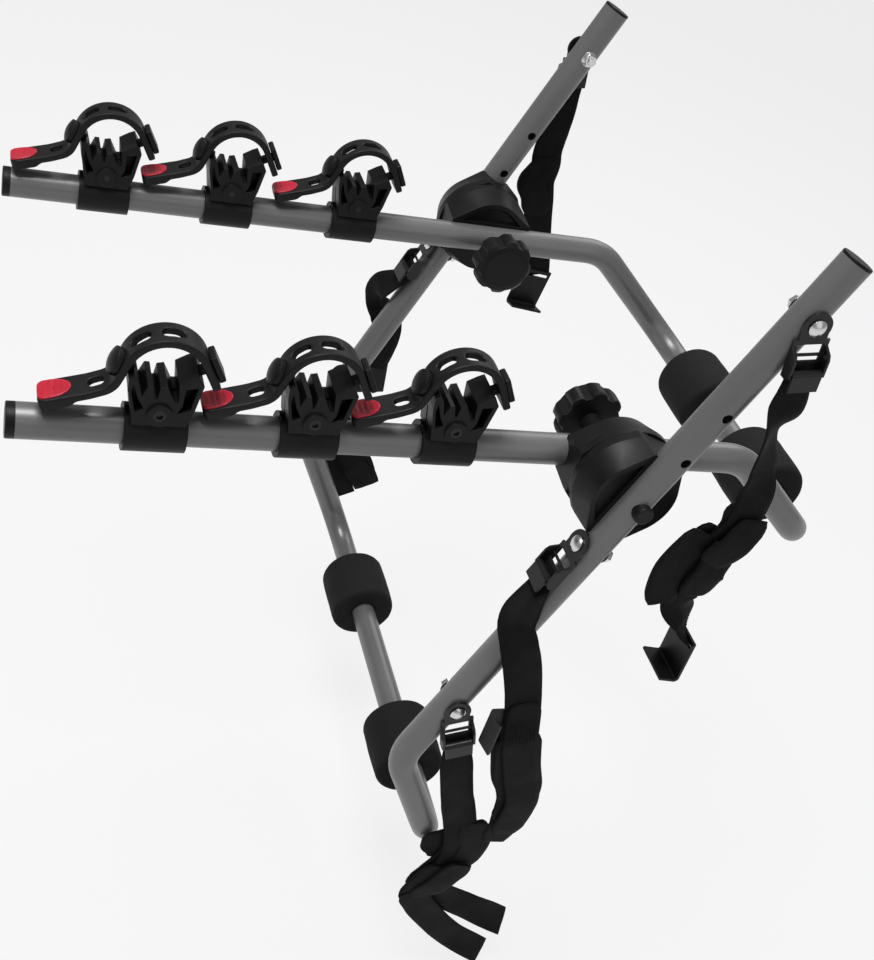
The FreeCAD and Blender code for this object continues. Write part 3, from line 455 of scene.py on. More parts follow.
# rubber straps over the cradles
cradleStrap = {
    "reachRight": (449.0, 313.0, 178.0), "reachLeft": (466.0, 329.0, 180.0),
    "width": 30.0, "thick": 7.0, "archY": 2.0, "archZ": 62.0, "archRadius": 34.8,
    "rightAngle": 28.0, "leftAngle": 160.0, "archSteps": 40, "leg": 30.0, "tailDrop": 28.0,
    "tailBend": 18.0, "kneeY": 18.5, "kneeZ": 8.0, "kneeBend": 60.0, "endY": 39.5, "endZ": 12.5,
    "holeWidth": 11.0, "holeLength": 19.0, "holeAngles": (86.0, 130.0), "tailHole": 49.0,
    "tailHoleShare": 0.8, "slotCorner": 1.0, "slotSteps": 3, "buttonReach": 9.0,
    "buttonHole": (10.9, 10.8), "toggleReach": 12.0, "toggleHalf": 4.4,
    "tabLength": 29.0, "edgeRound": 1.7, "gripLead": 3.0, "gripSwell": 3.6, "gripDepth": 1.8,
    "gripEase": 9.0, "footDrop": 30.0, "startCorner": 5.0, "endCorner": 7.0, "slice": 2.2,
}


def archSpot(values, degrees):
    angle = math.radians(degrees)
    y = values["archY"] + values["archRadius"] * math.cos(angle)
    z = values["archZ"] + values["archRadius"] * math.sin(angle)
    return Vector((0, y, z))


def filletRun(points, radii, steps=10):
    run = [points[0]]
    for index in range(1, len(points) - 1):
        corner = points[index]
        inward = (corner - points[index - 1]).normalized()
        outward = (points[index + 1] - corner).normalized()
        turn = inward.angle(outward)
        radius = radii[index - 1]
        cut = radius * math.tan(turn / 2)
        start = corner - inward * cut
        side = (outward - inward * inward.dot(outward)).normalized()
        centre = start + side * radius
        for step in range(steps + 1):
            angle = turn * step / steps
            run.append(centre - side * (radius * math.cos(angle)) + inward * (radius * math.sin(angle)))
    run.append(points[-1])
    return run


def strapLine(values):
    right = math.radians(values["rightAngle"])
    left = math.radians(values["leftAngle"])
    rightTop = archSpot(values, values["rightAngle"])
    leftTop = archSpot(values, values["leftAngle"])
    rightLeg = Vector((0, math.sin(right), -math.cos(right)))
    leftLeg = Vector((0, -math.sin(left), math.cos(left)))
    line = [rightTop + rightLeg * values["leg"]]
    spread = values["leftAngle"] - values["rightAngle"]
    for step in range(values["archSteps"] + 1):
        line.append(archSpot(values, values["rightAngle"] + spread * step / values["archSteps"]))
    bend = leftTop + leftLeg * values["tailDrop"]
    knee = bend + Vector((0, -values["kneeY"], -values["kneeZ"]))
    end = knee + Vector((0, -values["endY"], -values["endZ"]))
    return line + filletRun([leftTop, bend, knee, end], [values["tailBend"], values["kneeBend"]])[1:]


class Rail:
    halfStep = 0.8
    leastGap = 1e-4

    def __init__(self, line):
        self.line = [line[0]]
        for spot in line[1:]:
            if (spot - self.line[-1]).length > self.leastGap:
                self.line.append(spot)
        self.reach = [0.0]
        for index in range(1, len(self.line)):
            self.reach.append(self.reach[-1] + (self.line[index] - self.line[index - 1]).length)
        self.length = self.reach[-1]

    def at(self, distance):
        distance = min(max(distance, 0.0), self.length)
        index = 1
        while index < len(self.reach) - 1 and self.reach[index] < distance:
            index += 1
        span = self.reach[index] - self.reach[index - 1]
        share = (distance - self.reach[index - 1]) / span
        return self.line[index - 1].lerp(self.line[index], share)

    def direction(self, distance):
        return (self.at(distance + self.halfStep) - self.at(distance - self.halfStep)).normalized()


rail = Rail(strapLine(cradleStrap))


def alongArch(degrees):
    turned = math.radians(degrees - cradleStrap["rightAngle"])
    return cradleStrap["leg"] + turned * cradleStrap["archRadius"]


def ovalRing(centre, length, width, count=28):
    ring = []
    for step in range(count):
        angle = math.tau * step / count
        x = (length - width) / 2 * (1 if math.cos(angle) > 0 else -1) + width / 2 * math.cos(angle)
        ring.append((centre + x, width / 2 * math.sin(angle)))
    return ring


def roundedOutline(low, high, half, cornerLow, cornerHigh, steps=7):
    ring = []
    corners = (
        (low, -half, 180, cornerLow), (high, -half, 270, cornerHigh),
        (high, half, 0, cornerHigh), (low, half, 90, cornerLow),
    )
    for x, y, start, radius in corners:
        cx = x + radius * (1 if x == low else -1)
        cy = y + radius * (1 if y < 0 else -1)
        for step in range(steps + 1):
            angle = math.radians(start + 90 * step / steps)
            ring.append((cx + radius * math.cos(angle), cy + radius * math.sin(angle)))
    return ring


def sliceMesh(work, spot, facing):
    everything = work.verts[:] + work.edges[:] + work.faces[:]
    bmesh.ops.bisect_plane(work, geom=everything, plane_co=spot, plane_no=facing)


plate = {"lanes": (-4.95, 4.95), "roundSteps": 3, "weld": 1e-5, "leastSlice": 0.5}


def flatPlate(name, rings, thick, edgeRound, spacing):
    curve = bpy.data.curves.new(name, "CURVE")
    curve.dimensions = "2D"
    curve.fill_mode = "BOTH"
    curve.extrude = (thick / 2 - edgeRound) * mm
    curve.bevel_depth = edgeRound * mm
    curve.bevel_resolution = plate["roundSteps"]
    curve.offset = -edgeRound * mm
    for ring in rings:
        spline = curve.splines.new("POLY")
        spline.points.add(len(ring) - 1)
        for point, (x, y) in zip(spline.points, ring):
            point.co = (x * mm, y * mm, 0, 1)
        spline.use_cyclic_u = True
    holder = bpy.data.objects.new(name, curve)
    bpy.context.scene.collection.objects.link(holder)
    bpy.context.view_layer.update()
    mesh = bpy.data.meshes.new_from_object(holder)
    bpy.data.objects.remove(holder)
    work = bmesh.new()
    work.from_mesh(mesh)
    bmesh.ops.remove_doubles(work, verts=work.verts, dist=plate["weld"])
    low = min(v.co.x for v in work.verts)
    high = max(v.co.x for v in work.verts)
    cut = low + spacing * mm
    while cut < high - plate["leastSlice"] * mm:
        sliceMesh(work, (cut, 0, 0), (1, 0, 0))
        cut += spacing * mm
    for lane in plate["lanes"]:
        sliceMesh(work, (0, lane * mm, 0), (0, 1, 0))
    bmesh.ops.recalc_face_normals(work, faces=work.faces)
    work.to_mesh(mesh)
    work.free()
    return mesh


gripStart = rail.length - cradleStrap["tabLength"] - cradleStrap["gripLead"]
archFoot = Vector((0, cradleStrap["archY"], cradleStrap["archZ"] - cradleStrap["footDrop"]))


def bendBand(mesh):
    for vertex in mesh.vertices:
        s, x, t = vertex.co / mm
        direction = rail.direction(s)
        normal = across.cross(direction)
        if normal.dot(rail.at(s) - archFoot) < 0:
            normal = -normal
        grow = min(max((s - gripStart) / cradleStrap["gripEase"], 0.0), 1.0)
        grow = grow * grow * (3 - 2 * grow)
        if t < 0:
            t = t - cradleStrap["gripSwell"] * grow * min(1.0, -t / cradleStrap["gripDepth"])
        place = rail.at(s) + across * x + normal * t
        if s > rail.length:
            place = place + direction * (s - rail.length)
        vertex.co = place * mm
    mesh.update()


def markSharpEdges(piece, degrees=40):
    sharp = math.radians(degrees)
    work = bmesh.new()
    work.from_mesh(piece.data)
    for edge in work.edges:
        if len(edge.link_faces) == 2:
            edge.smooth = edge.calc_face_angle(0.0) < sharp
    work.to_mesh(piece.data)
    work.free()


def buildBand(values):
    half, toggleHalf = values["width"] / 2, values["toggleHalf"]
    toggle = values["leg"] - values["toggleReach"]
    long, wide, corner = values["holeLength"], values["holeWidth"], values["slotCorner"]
    slot = (toggle - toggleHalf, toggle + toggleHalf, toggleHalf, corner, corner, values["slotSteps"])
    holes = [ovalRing(alongArch(angle), long, wide) for angle in values["holeAngles"]]
    holes += [
        ovalRing(rail.length - values["tailHole"], long * values["tailHoleShare"], wide),
        ovalRing(alongArch(values["leftAngle"]) + values["buttonReach"], *values["buttonHole"]),
        roundedOutline(*slot),
    ]
    outline = roundedOutline(0.0, rail.length, half, values["startCorner"], values["endCorner"])
    rings = [outline] + holes
    mesh = flatPlate("rubberBand", rings, values["thick"], values["edgeRound"], values["slice"])
    bendBand(mesh)
    return mesh


pullTab = {
    "length": 29.0, "width": 25.0, "thick": 3.2, "edgeRound": 1.2, "dish": 1.7, "dishHalf": 13.0,
    "ridge": 0.4, "ridges": 11, "lift": 0.4, "taper": 17.0, "corner": 6.0, "steps": 18,
    "cornerSteps": 6, "slice": 1.2, "startShift": 0.4, "endInset": 0.6,
}


def scoopOutline(low, high, values):
    half = values["width"] / 2
    taper, corner = values["taper"], values["corner"]
    ring = []
    for step in range(values["steps"] + 1):
        angle = math.pi * (0.5 + step / values["steps"])
        ring.append((low + taper + taper * math.cos(angle), half * math.sin(angle)))
    for middleX, start in ((corner - half, 1.5), (half - corner, 0.0)):
        for step in range(values["cornerSteps"] + 1):
            angle = math.pi * (start + 0.5 * step / values["cornerSteps"])
            ring.append((high - corner + corner * math.cos(angle), middleX + corner * math.sin(angle)))
    return ring


def buildTab(values):
    low = rail.length - values["length"] + values["startShift"]
    outline = scoopOutline(low, rail.length - values["endInset"], values)
    mesh = flatPlate("pullTab", [outline], values["thick"], values["edgeRound"], values["slice"])
    for vertex in mesh.vertices:
        s, x, t = vertex.co / mm
        share = (s - low) / values["length"]
        if t > 0:
            bowl = max(0.0, 1 - (x / values["dishHalf"]) ** 2)
            bowl = math.sin(math.pi * min(max(share, 0), 1)) * bowl
            ridges = math.sin(share * math.pi * values["ridges"])
            t = t - values["dish"] * bowl + values["ridge"] * bowl * ridges
        direction = rail.direction(s)
        normal = Vector((0, direction.z, -direction.y))
        place = rail.at(s) + across * x + normal * (cradleStrap["thick"] / 2 + values["lift"] + t)
        vertex.co = place * mm
    mesh.update()
    return mesh


# a kind is the name's ending, the mesh, the finish, the slot, and whether it replaces the solid
strapKinds = (
    ("_rubber", buildBand(cradleStrap), "strapRubber", "strap_rubber", True),
    ("_tab", buildTab(pullTab), "pullTabRed", "pull_tab", False),
)
for sideName, sign in sides.items():
    for number, reach in enumerate(cradleStrap["reachRight" if sign > 0 else "reachLeft"], start=1):
        label = "cradle_strap_%s_%d" % (sideName, number)
        shift = Matrix.Translation(Vector((sign * hoops["armHalfSpan"], -reach, 0)) * mm)
        for ending, mesh, finish, slotName, replaces in strapKinds:
            own = mesh.copy()
            own.transform(shift)
            solids = (label,) if replaces else ()
            markSharpEdges(dressPiece(label + ending, own, finish, label, solids))
print("rubber straps made")

# webbing
buckle = {
    "seatGap": 1.0, "plate": 2.5, "width": 36.0, "length": 50.0, "windowEnd": 38.0,
    "play": 1.0, "nearWindow": 4.0, "pastEnd": 6.0,
    "bolts": {"top": 235.0, "middle": -67.5, "bottom": -303.0},
    "hangs": {"top": (0, 0.14, -0.99), "bottom": (0, 0.26, -0.965)},
}
webbing = {
    "width": 38.0, "thick": 2.3, "layer": 2.4, "step": 4.0, "columns": 9, "widest": 1.05,
    "flutter": 0.7, "flutterPitch": (0.03, 0.8), "ripple": 0.35, "ripplePitch": (0.09, 1.9),
    "rippleSeed": 9, "edgePower": 8, "edgeLeast": 0.30,
}

# a station is the distance outside the lower hoop's half span, y, z, the twist of the width,
# the share of the webbing's width, and the layers
stations = {
    ("right", "top"): [[
        (23.0, 91.0, 138.0, 0, 1.0, 1.0), (26.0, 88.0, 106.0, 40, 0.95, 1.5),
        (28.0, 98.0, 66.0, 20, 0.95, 1.5), (30.0, 104.0, 34.0, 0, 1.2, 2.0),
        (31.0, 104.0, 2.0, 0, 1.65, 5.0), (31.0, 93.0, -28.0, 0, 1.35, 8.0),
        (31.0, 78.0, -62.0, 0, 2.1, 9.0), (31.0, 80.0, -104.0, 0, 1.9, 7.0),
        (29.0, 100.0, -130.0, 40, 1.15, 3.0), (26.0, 113.0, -158.0, 88, 1.0, 1.5),
    ]],
    ("left", "top"): [[
        (23.0, 90.0, 130.0, 0, 1.0, 1.0), (26.0, 91.0, 82.0, 0, 1.1, 1.5),
        (27.0, 96.0, 60.0, 0, 1.3, 3.0), (27.0, 96.0, 36.0, 0, 1.7, 4.0),
        (27.0, 103.0, 12.0, 0, 1.3, 3.0), (27.0, 113.0, -24.0, 0, 1.1, 1.5),
        (26.0, 124.0, -60.0, 0, 1.1, 1.5), (25.0, 135.0, -98.0, 0, 1.05, 1.0),
    ]],
    ("right", "middle"): [[
        (23.0, -86.0, -138.0, -58, 1.1, 1.2), (35.0, -82.0, -158.0, -28, 1.15, 1.4),
        (41.5, -71.0, -186.0, -7, 1.2, 2.0), (43.5, -57.0, -226.0, 0, 1.1, 1.6),
        (45.0, -46.0, -265.0, 0, 1.1, 3.0), (45.5, -40.0, -299.0, 0, 1.5, 7.0),
        (45.5, -23.0, -351.0, 0, 1.5, 8.0), (45.5, -5.0, -401.0, 0, 1.45, 8.0),
        (45.5, -6.0, -454.0, 0, 1.3, 6.0), (45.5, -10.0, -485.0, 0, 0.8, 3.0),
    ]],
    ("left", "middle"): [[
        (21.0, -85.0, -140.0, 68, 1.0, 1.2), (33.0, -78.0, -163.0, 40, 1.0, 1.2),
        (40.0, -65.0, -185.0, 10, 1.1, 2.0), (42.0, -50.0, -210.0, 0, 1.2, 4.0),
        (43.0, -46.0, -240.0, 0, 1.2, 4.0), (43.0, -54.0, -286.0, 0, 1.0, 1.5),
    ]],
    ("right", "bottom"): [
        [
            (23.5, -82.0, -372.0, 0, 1.0, 1.0), (24.0, -66.0, -424.0, 0, 1.0, 1.0),
            (24.5, -50.0, -468.0, 0, 1.2, 3.0), (26.2, -40.0, -502.0, 0, 2.0, 7.0),
            (26.2, -36.0, -540.0, 0, 2.2, 7.0), (26.2, -50.0, -580.0, 0, 1.5, 6.0),
            (26.2, -64.0, -612.0, 0, 1.2, 3.0), (26.2, -60.0, -640.0, 0, 0.8, 2.0),
        ],
        [
            (23.0, -72.0, -596.0, 0, 0.9, 1.2), (22.5, -36.0, -622.0, 0, 1.0, 1.2),
            (22.0, 16.0, -660.0, 12, 0.97, 1.2), (21.0, 82.0, -708.0, 48, 0.95, 1.2),
        ],
        [
            (29.0, -74.0, -604.0, 0, 0.9, 1.2), (29.5, -50.0, -644.0, 0, 1.0, 1.2),
            (30.0, 2.0, -706.0, 10, 0.95, 1.2), (30.5, 64.0, -760.0, 38, 0.9, 1.2),
        ],
    ],
    ("left", "bottom"): [
        [
            (23.5, -84.0, -366.0, 0, 1.0, 1.0), (24.0, -74.0, -400.0, 0, 1.0, 1.0),
            (25.0, -58.0, -430.0, 0, 1.3, 3.0), (25.5, -40.0, -452.0, 0, 1.6, 5.0),
            (25.5, -26.0, -474.0, 0, 1.2, 4.0), (25.5, -16.0, -492.0, 0, 1.0, 2.0),
        ],
        [
            (29.0, -80.0, -440.0, 0, 0.8, 1.2), (30.0, -66.0, -476.0, 0, 0.9, 1.2),
            (30.0, -46.0, -516.0, 0, 0.9, 1.2),
        ],
    ],
}


def buckleFrame(sign, place):
    out = offTube if place == "middle" else across * sign
    origin = across * sign * hoops["lowerHalfSpan"] + upTube * buckle["bolts"][place]
    origin += out * (hoops["tubeRadius"] + buckle["seatGap"])
    hang = -upTube if place == "middle" else Vector(buckle["hangs"][place])
    return origin, hang.normalized(), out


def stationRows(sideName, place, given, fromBuckle):
    sign = sides[sideName]
    rows = []
    halfSpan = hoops["lowerHalfSpan"]
    spots = [Vector((sign * (halfSpan + row[0]), row[1], row[2])) for row in given]
    table = list(given)
    if fromBuckle:
        origin, hang, out = buckleFrame(sign, place)
        lift = buckle["plate"] + webbing["thick"] / 2
        inner = buckle["width"] - 2 * buckle["plate"] - buckle["play"]
        width = -hang.cross(out)
        window, near = buckle["windowEnd"], buckle["nearWindow"]
        for reach in (window - near, window + near, buckle["length"] + buckle["pastEnd"]):
            rows.append((origin + hang * reach + out * lift, width, inner, 1.0))
        spots = [rows[-1][0]] + spots
        table = [None] + table
    for index, station in enumerate(table):
        if station is None:
            continue
        run = (spots[min(index + 1, len(spots) - 1)] - spots[max(index - 1, 0)]).normalized()
        level = run.cross(across).normalized() * (-1.0 if run.z > 0 else 1.0)
        normal = level.cross(run).normalized() * sign
        twist = math.radians(station[3])
        width = level * math.cos(twist) + normal * math.sin(twist)
        rows.append((spots[index], width, webbing["width"] * station[4], station[5]))
    lined = [rows[0]]
    for row in rows[1:]:
        width = row[1] if row[1].dot(lined[-1][1]) > 0 else -row[1]
        lined.append((row[0], width, row[2], row[3]))
    return lined


def smoothRows(rows, step):
    dense = []
    for index in range(len(rows) - 1):
        before = rows[max(index - 1, 0)][0]
        start, end = rows[index][0], rows[index + 1][0]
        after = rows[min(index + 2, len(rows) - 1)][0]
        count = max(2, int((end - start).length / step))
        for part in range(count):
            t = part / count
            spot = 0.5 * (
                2 * start + (end - before) * t + (2 * before - 5 * start + 4 * end - after) * t * t
                + (3 * start - before - 3 * end + after) * t * t * t
            )
            ease = t * t * (3 - 2 * t)
            width = rows[index][1].lerp(rows[index + 1][1], ease).normalized()
            wide = rows[index][2] + (rows[index + 1][2] - rows[index][2]) * ease
            layers = rows[index][3] + (rows[index + 1][3] - rows[index][3]) * ease
            dense.append([spot, width, wide, layers])
    dense.append(list(rows[-1]))
    framed = []
    for index, (spot, width, wide, layers) in enumerate(dense):
        run = (dense[min(index + 1, len(dense) - 1)][0] - dense[max(index - 1, 0)][0]).normalized()
        width = (width - run * run.dot(width)).normalized()
        framed.append((spot, width, run.cross(width).normalized(), run, wide, layers))
    return framed


def surfaceSpot(row, u, face, thick, travelled, seed, proud=0.0):
    centre, width, normal, wide = row
    bulge = max(webbing["edgeLeast"], (1 - abs(u) ** webbing["edgePower"])) ** 0.5
    along, beside = webbing["flutterPitch"]
    flow = noise.noise(Vector((travelled * along, u * beside, seed)))
    along, beside = webbing["ripplePitch"]
    small = noise.noise(Vector((travelled * along, u * beside, seed + webbing["rippleSeed"])))
    lift = flow * webbing["flutter"] + small * webbing["ripple"]
    return centre + width * (u * wide / 2) + normal * (face * (thick / 2 * bulge + proud) + lift)


def ribbonMesh(name, line, thick, closed, seed):
    columns = webbing["columns"]
    points, spots = [], []
    travelled = 0.0
    for index, row in enumerate(line):
        if index:
            travelled += (row[0] - line[index - 1][0]).length
        ring = []
        for face in (1, -1):
            for step in range(columns):
                u = face * (-1 + 2 * step / (columns - 1))
                spot = surfaceSpot(row, u, face, thick, travelled, seed)
                ring.append((spot, (u * row[3] / 2, travelled)))
        points.extend(p for p, s in ring)
        spots.extend(s for p, s in ring)
    around = 2 * columns
    faces = []
    rows = len(line)
    for index in range(rows if closed else rows - 1):
        here, after = index * around, (index + 1) % rows * around
        for step in range(around):
            onward = (step + 1) % around
            faces.append((here + step, after + step, after + onward, here + onward))
    if not closed:
        faces.append(tuple(range(around)))
        faces.append(tuple(reversed(range((rows - 1) * around, rows * around))))
    mesh = bpy.data.meshes.new(name)
    mesh.from_pydata([p * mm for p in points], [], faces)
    threads = mesh.attributes.new("weaveSpot", "FLOAT_VECTOR", "POINT")
    flat = []
    for beside, onwards in spots:
        flat.extend((beside * mm, onwards * mm, 0.0))
    threads.data.foreach_set("vector", flat)
    mesh.update()
    work = bmesh.new()
    work.from_mesh(mesh)
    bmesh.ops.recalc_face_normals(work, faces=work.faces)
    work.to_mesh(mesh)
    work.free()
    return mesh


stitch = {"length": 2.7, "gap": 1.3, "girth": 0.42, "proud": 0.12, "inset": 0.86}


def sewRows(line, wanted, face, seed, values):
    points, faces = [], []
    travelled = 0.0
    for index, row in enumerate(line):
        if index:
            travelled += (row[0] - line[index - 1][0]).length
        if index not in wanted:
            continue
        pitch = values["length"] + values["gap"]
        count = int(row[3] * values["inset"] / pitch)
        for number in range(count):
            u = (number - (count - 1) / 2) * pitch * 2 / row[3]
            spot = surfaceSpot(row, u, face, webbing["thick"], travelled, seed, values["proud"])
            along = row[1] * (values["length"] / 2)
            up = row[2] * values["girth"]
            beside = row[1].cross(row[2]) * values["girth"]
            base = len(points)
            points += [spot - along, spot + up, spot + beside, spot - up, spot - beside, spot + along]
            for step in range(1, 5):
                onward = step % 4 + 1
                faces += [(base, base + onward, base + step), (base + 5, base + step, base + onward)]
    mesh = bpy.data.meshes.new("stitches")
    mesh.from_pydata([p * mm for p in points], [], faces)
    return mesh


# a strap with fewer layers than "least" stays one strip, and "endShare" is the share of its width
# that a ply keeps at its end
folding = {
    "least": 2.6, "start": 1.6, "rise": (0.18, 0.6), "reach": 0.8, "endRows": 3, "endShare": 0.74,
    "startDrift": (2, 3.3), "endDrift": (3, 5.1), "endSeed": 4, "shortest": 3,
    "fullWidth": 1.02, "turnSteps": 6, "offsets": (-0.85, 0.55, -0.25, 0.9, 0.1, -0.6),
}
# the height where a ply starts, the height where it ends, and its sideways places between them
plyTables = {
    ("right", "top"): [
        (-16.0, -98.0, (-14.0, -14.0, -12.0)), (26.0, -52.0, (-9.0, 0.0, 2.0)),
        (-22.0, -100.0, (-31.0, -28.0, -20.0)), (-24.0, -92.0, (2.0, 16.0, 10.0)),
        (8.0, -44.0, (9.0, 8.0, -2.0)),
    ],
    ("right", "middle"): [
        (-268.0, -470.0, (-6.0, -9.0, 6.0)), (-300.0, -482.0, (9.0, 8.0, 0.0)),
        (-288.0, -440.0, (-4.0, -8.0, -6.0)), (-243.0, -462.0, (0.0, 2.0, 1.0)),
    ],
    ("right", "bottom"): [
        (-490.0, -552.0, (-24.0, -26.0, -16.0)), (-512.0, -602.0, (0.0, -6.0, -12.0)),
        (-482.0, -558.0, (14.0, 20.0, 14.0)), (-562.0, -622.0, (-11.0, -10.0, -5.0)),
        (-548.0, -616.0, (12.0, 9.0, 4.0)),
    ],
}


def guessedSpan(layers, peak, number, plies, seed):
    low, rise = folding["rise"]
    start = folding["start"]
    threshold = start + (peak - start) * (low + rise * number / max(plies, 1)) * folding["reach"]
    inside = [i for i, value in enumerate(layers) if value >= threshold]
    rows, spread = folding["startDrift"]
    first = inside[0] + int(rows * noise.noise(Vector((number * spread, seed, 0))))
    first = min(max(first, 0), len(layers) - folding["shortest"])
    rows, spread = folding["endDrift"]
    last = inside[-1] + int(rows * noise.noise(Vector((number * spread, seed, folding["endSeed"]))))
    return first, max(min(last, len(layers) - 1), first + folding["shortest"])


def plyRow(framed, index, ply, way, turn):
    spot, width, normal, run, wide, many = framed[index]
    first, last, sideways = ply["first"], ply["last"], ply["sideways"]
    if sideways:
        t = 2 * (index - first) / (last - first)
        begin = min(int(t), 1)
        lateral = sideways[begin] + (sideways[begin + 1] - sideways[begin]) * (t - begin)
        lateral *= 1 if width.y > 0 else -1
    else:
        lateral = ply["side"] * max(wide - webbing["width"], 0.0) / 2
    room = many / ply["peak"]
    fromEnd = min(index - first, last - index, folding["endRows"]) / folding["endRows"]
    share = folding["endShare"] + (1 - folding["endShare"]) * fromEnd ** 0.5
    own = min(wide, webbing["width"] * folding["fullWidth"]) * share
    lifted = (ply["offset"] + ply["radius"] * math.cos(turn)) * room
    centre = spot + width * lateral + normal * lifted
    centre = centre + run * (ply["radius"] * math.sin(turn) * way)
    facing = normal * math.cos(turn) + run * (math.sin(turn) * way)
    return centre, width, facing.normalized(), own


def foldLoops(framed, seed, table):
    layers = [row[5] for row in framed]
    peak = max(layers)
    if peak < folding["least"]:
        return []
    plies = len(table) or int((peak - 1) // 2) or 1
    pitch = peak * webbing["layer"] / plies
    turns = [math.pi * step / folding["turnSteps"] for step in range(1, folding["turnSteps"])]
    loops = []
    for number in range(plies):
        sideways = ()
        if table:
            high, low, sideways = table[number]
            first = min(range(len(framed)), key=lambda i: abs(framed[i][0].z - high))
            last = min(range(len(framed)), key=lambda i: abs(framed[i][0].z - low))
        else:
            first, last = guessedSpan(layers, peak, number, plies, seed)
        ply = {
            "first": first, "last": last, "sideways": sideways, "peak": peak, "radius": pitch / 4,
            "offset": (number - (plies - 1) / 2) * pitch,
            "side": folding["offsets"][(number + int(seed)) % len(folding["offsets"])],
        }
        line = [plyRow(framed, index, ply, 1, 0.0) for index in range(first, last + 1)]
        line += [plyRow(framed, last, ply, 1, turn) for turn in turns]
        line += [plyRow(framed, index, ply, 1, math.pi) for index in range(last, first - 1, -1)]
        line += [plyRow(framed, first, ply, -1, turn) for turn in reversed(turns)]
        loops.append(line)
    return loops


def joinMeshes(name, meshes):
    work = bmesh.new()
    for mesh in meshes:
        work.from_mesh(mesh)
    joined = bpy.data.meshes.new(name)
    work.to_mesh(joined)
    work.free()
    return joined


seeds = {"first": 2.0, "strap": 7, "strip": 3, "loop": 0.7}
# a trim is the strap, its kind, the height where it starts and its rows of stitches
trims = [
    (("right", "middle"), "patch", -262.0, 9),
    (("left", "top"), "seam", 16.0, 2),
    (("right", "top"), "seam", -139.0, 3),
    (("left", "top"), "seam", -70.0, 3),
    (("left", "middle"), "seam", -258.0, 3),
]

for number, (strap, strips) in enumerate(stations.items()):
    sideName, place = strap
    label = "%s_%s" % strap
    body, solid = "strap_" + label, "webbing_" + label
    meshes = []
    for index, given in enumerate(strips):
        framed = smoothRows(stationRows(sideName, place, given, index == 0), webbing["step"])
        seed = seeds["first"] + number * seeds["strap"] + index * seeds["strip"]
        line = [
            (spot, width, normal, min(wide, webbing["width"] * webbing["widest"]))
            for spot, width, normal, run, wide, layers in framed
        ]
        meshes.append(ribbonMesh("ply", line, webbing["thick"], False, seed))
        loops = foldLoops(framed, seed, plyTables.get(strap, []) if index == 0 else [])
        for loopNumber, loop in enumerate(loops):
            loopSeed = seed + seeds["loop"] * loopNumber
            meshes.append(ribbonMesh("loop", loop, webbing["thick"], True, loopSeed))
        for trimmed, mark, where, rows in trims:
            if (trimmed, index) != (strap, 0):
                continue
            if mark == "seam":
                nearest = min(range(len(framed)), key=lambda row: abs(framed[row][0].z - where))
                for face in (1, -1):
                    meshes.append(sewRows(line, range(nearest, nearest + rows), face, seed, stitch))
            else:
                sign = sides[sideName]
                outer = max(range(len(loops)), key=lambda n: max(row[0].x * sign for row in loops[n]))
                patchRows = [
                    n for n, row in enumerate(loops[outer])
                    if -rows * webbing["step"] < row[0].z - where < 0 < row[2].x * sign
                ]
                loopSeed = seed + seeds["loop"] * outer
                meshes.append(sewRows(loops[outer], patchRows, 1, loopSeed, stitch))
    joined = joinMeshes(solid + "_strap", meshes)
    dressPiece(solid + "_strap", joined, "blackWebbing", body, (solid,))
print("webbing made")

# floor and light
floorBox = {"margin": 0.004, "size": 14.0, "tone": (0.62, 0.62, 0.62), "own": 0.8}


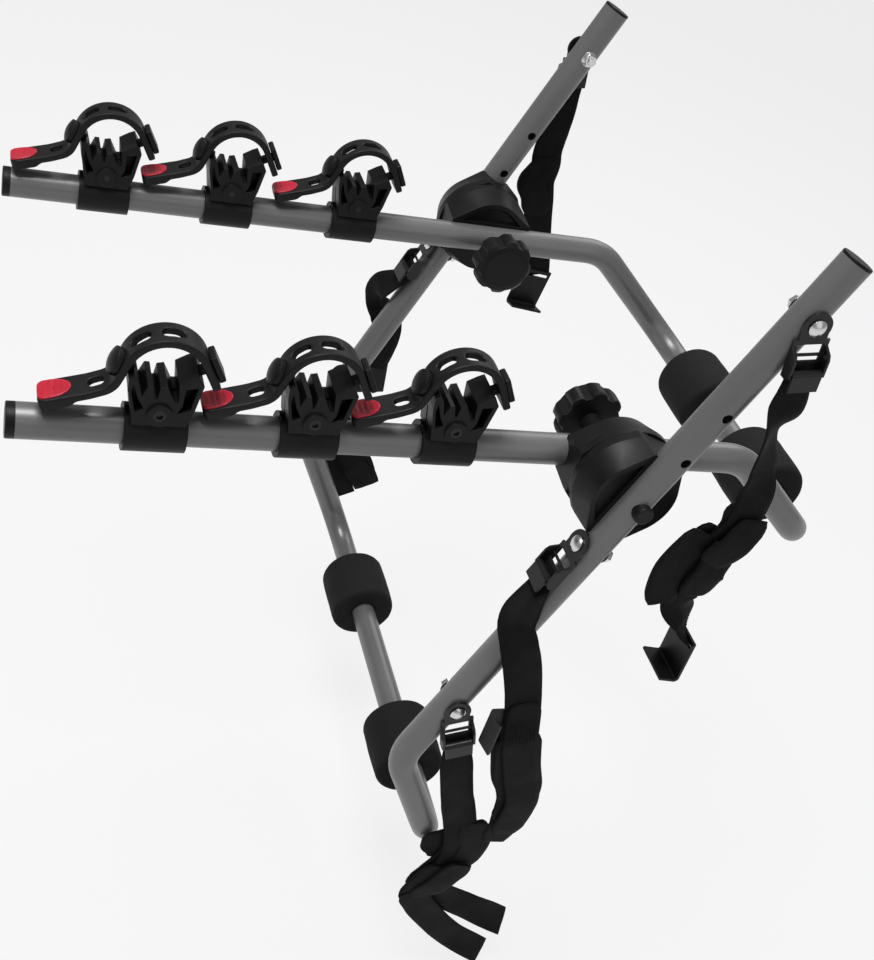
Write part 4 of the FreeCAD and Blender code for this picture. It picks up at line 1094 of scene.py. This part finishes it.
def addFloor(values, box):
    low = box[0]
    half = values["size"] / 2
    mesh = bpy.data.meshes.new("floor")
    corners = [(-half, -half, 0), (half, -half, 0), (half, half, 0), (-half, half, 0)]
    mesh.from_pydata(corners, [], [(0, 1, 2, 3)])
    floor = bpy.data.objects.new("floor", mesh)
    bpy.context.scene.collection.objects.link(floor)
    floor.location.z = low.z - values["margin"]
    material = bpy.data.materials.new("paleFloor")
    material.use_nodes = True
    tree = material.node_tree
    tree.nodes.clear()
    output = addNode(tree, "ShaderNodeOutputMaterial")
    diffuse = addNode(tree, "ShaderNodeBsdfDiffuse")
    diffuse.inputs["Color"].default_value = (*values["tone"], 1)
    glow = addNode(tree, "ShaderNodeEmission")
    glow.inputs["Strength"].default_value = 1.0
    rays = addNode(tree, "ShaderNodeLightPath")
    seen = maths(tree, "MAXIMUM", rays.outputs["Is Camera Ray"], rays.outputs["Is Glossy Ray"])
    share = maths(tree, "MULTIPLY", seen, values["own"])
    mixed = addNode(tree, "ShaderNodeMixShader")
    tree.links.new(share, mixed.inputs[0])
    tree.links.new(diffuse.outputs[0], mixed.inputs[1])
    tree.links.new(glow.outputs[0], mixed.inputs[2])
    tree.links.new(mixed.outputs[0], output.inputs["Surface"])
    mesh.materials.append(material)


addFloor(floorBox, cadBox)

lamps = {
    "key": {"spot": (0.2, -0.9, 2.9), "size": 1.7, "power": 104.0},
    "fill": {"spot": (2.6, 0.8, 1.2), "size": 2.4, "power": 9.0},
    "rear": {"spot": (-1.8, 1.6, 1.8), "size": 2.0, "power": 20.0},
}


def addLamp(name, values, target):
    data = bpy.data.lights.new(name, "AREA")
    data.shape = "DISK"
    data.size = values["size"]
    data.energy = values["power"]
    lamp = bpy.data.objects.new(name, data)
    bpy.context.scene.collection.objects.link(lamp)
    lamp.location = values["spot"]
    lamp.rotation_mode = "QUATERNION"
    lamp.rotation_quaternion = (target - Vector(values["spot"])).to_track_quat("-Z", "Y")


middle = (cadBox[0] + cadBox[1]) / 2
for name, values in lamps.items():
    addLamp(name + "Lamp", values, middle)

studio = {"glow": 0.28, "seen": 1.0}
world = bpy.data.worlds.new("studio")
bpy.context.scene.world = world
world.use_nodes = True
sky = world.node_tree
sky.nodes.clear()
skyOut = addNode(sky, "ShaderNodeOutputWorld")
skyGlow = addNode(sky, "ShaderNodeBackground")
skySeen = addNode(sky, "ShaderNodeBackground")
skyGlow.inputs["Strength"].default_value = studio["glow"]
skySeen.inputs["Strength"].default_value = studio["seen"]
for node in (skyGlow, skySeen):
    node.inputs["Color"].default_value = (1, 1, 1, 1)
skyRays = addNode(sky, "ShaderNodeLightPath")
skyMix = addNode(sky, "ShaderNodeMixShader")
sky.links.new(skyRays.outputs["Is Camera Ray"], skyMix.inputs[0])
sky.links.new(skyGlow.outputs[0], skyMix.inputs[1])
sky.links.new(skySeen.outputs[0], skyMix.inputs[2])
sky.links.new(skyMix.outputs[0], skyOut.inputs["Surface"])
print("floor and light set")
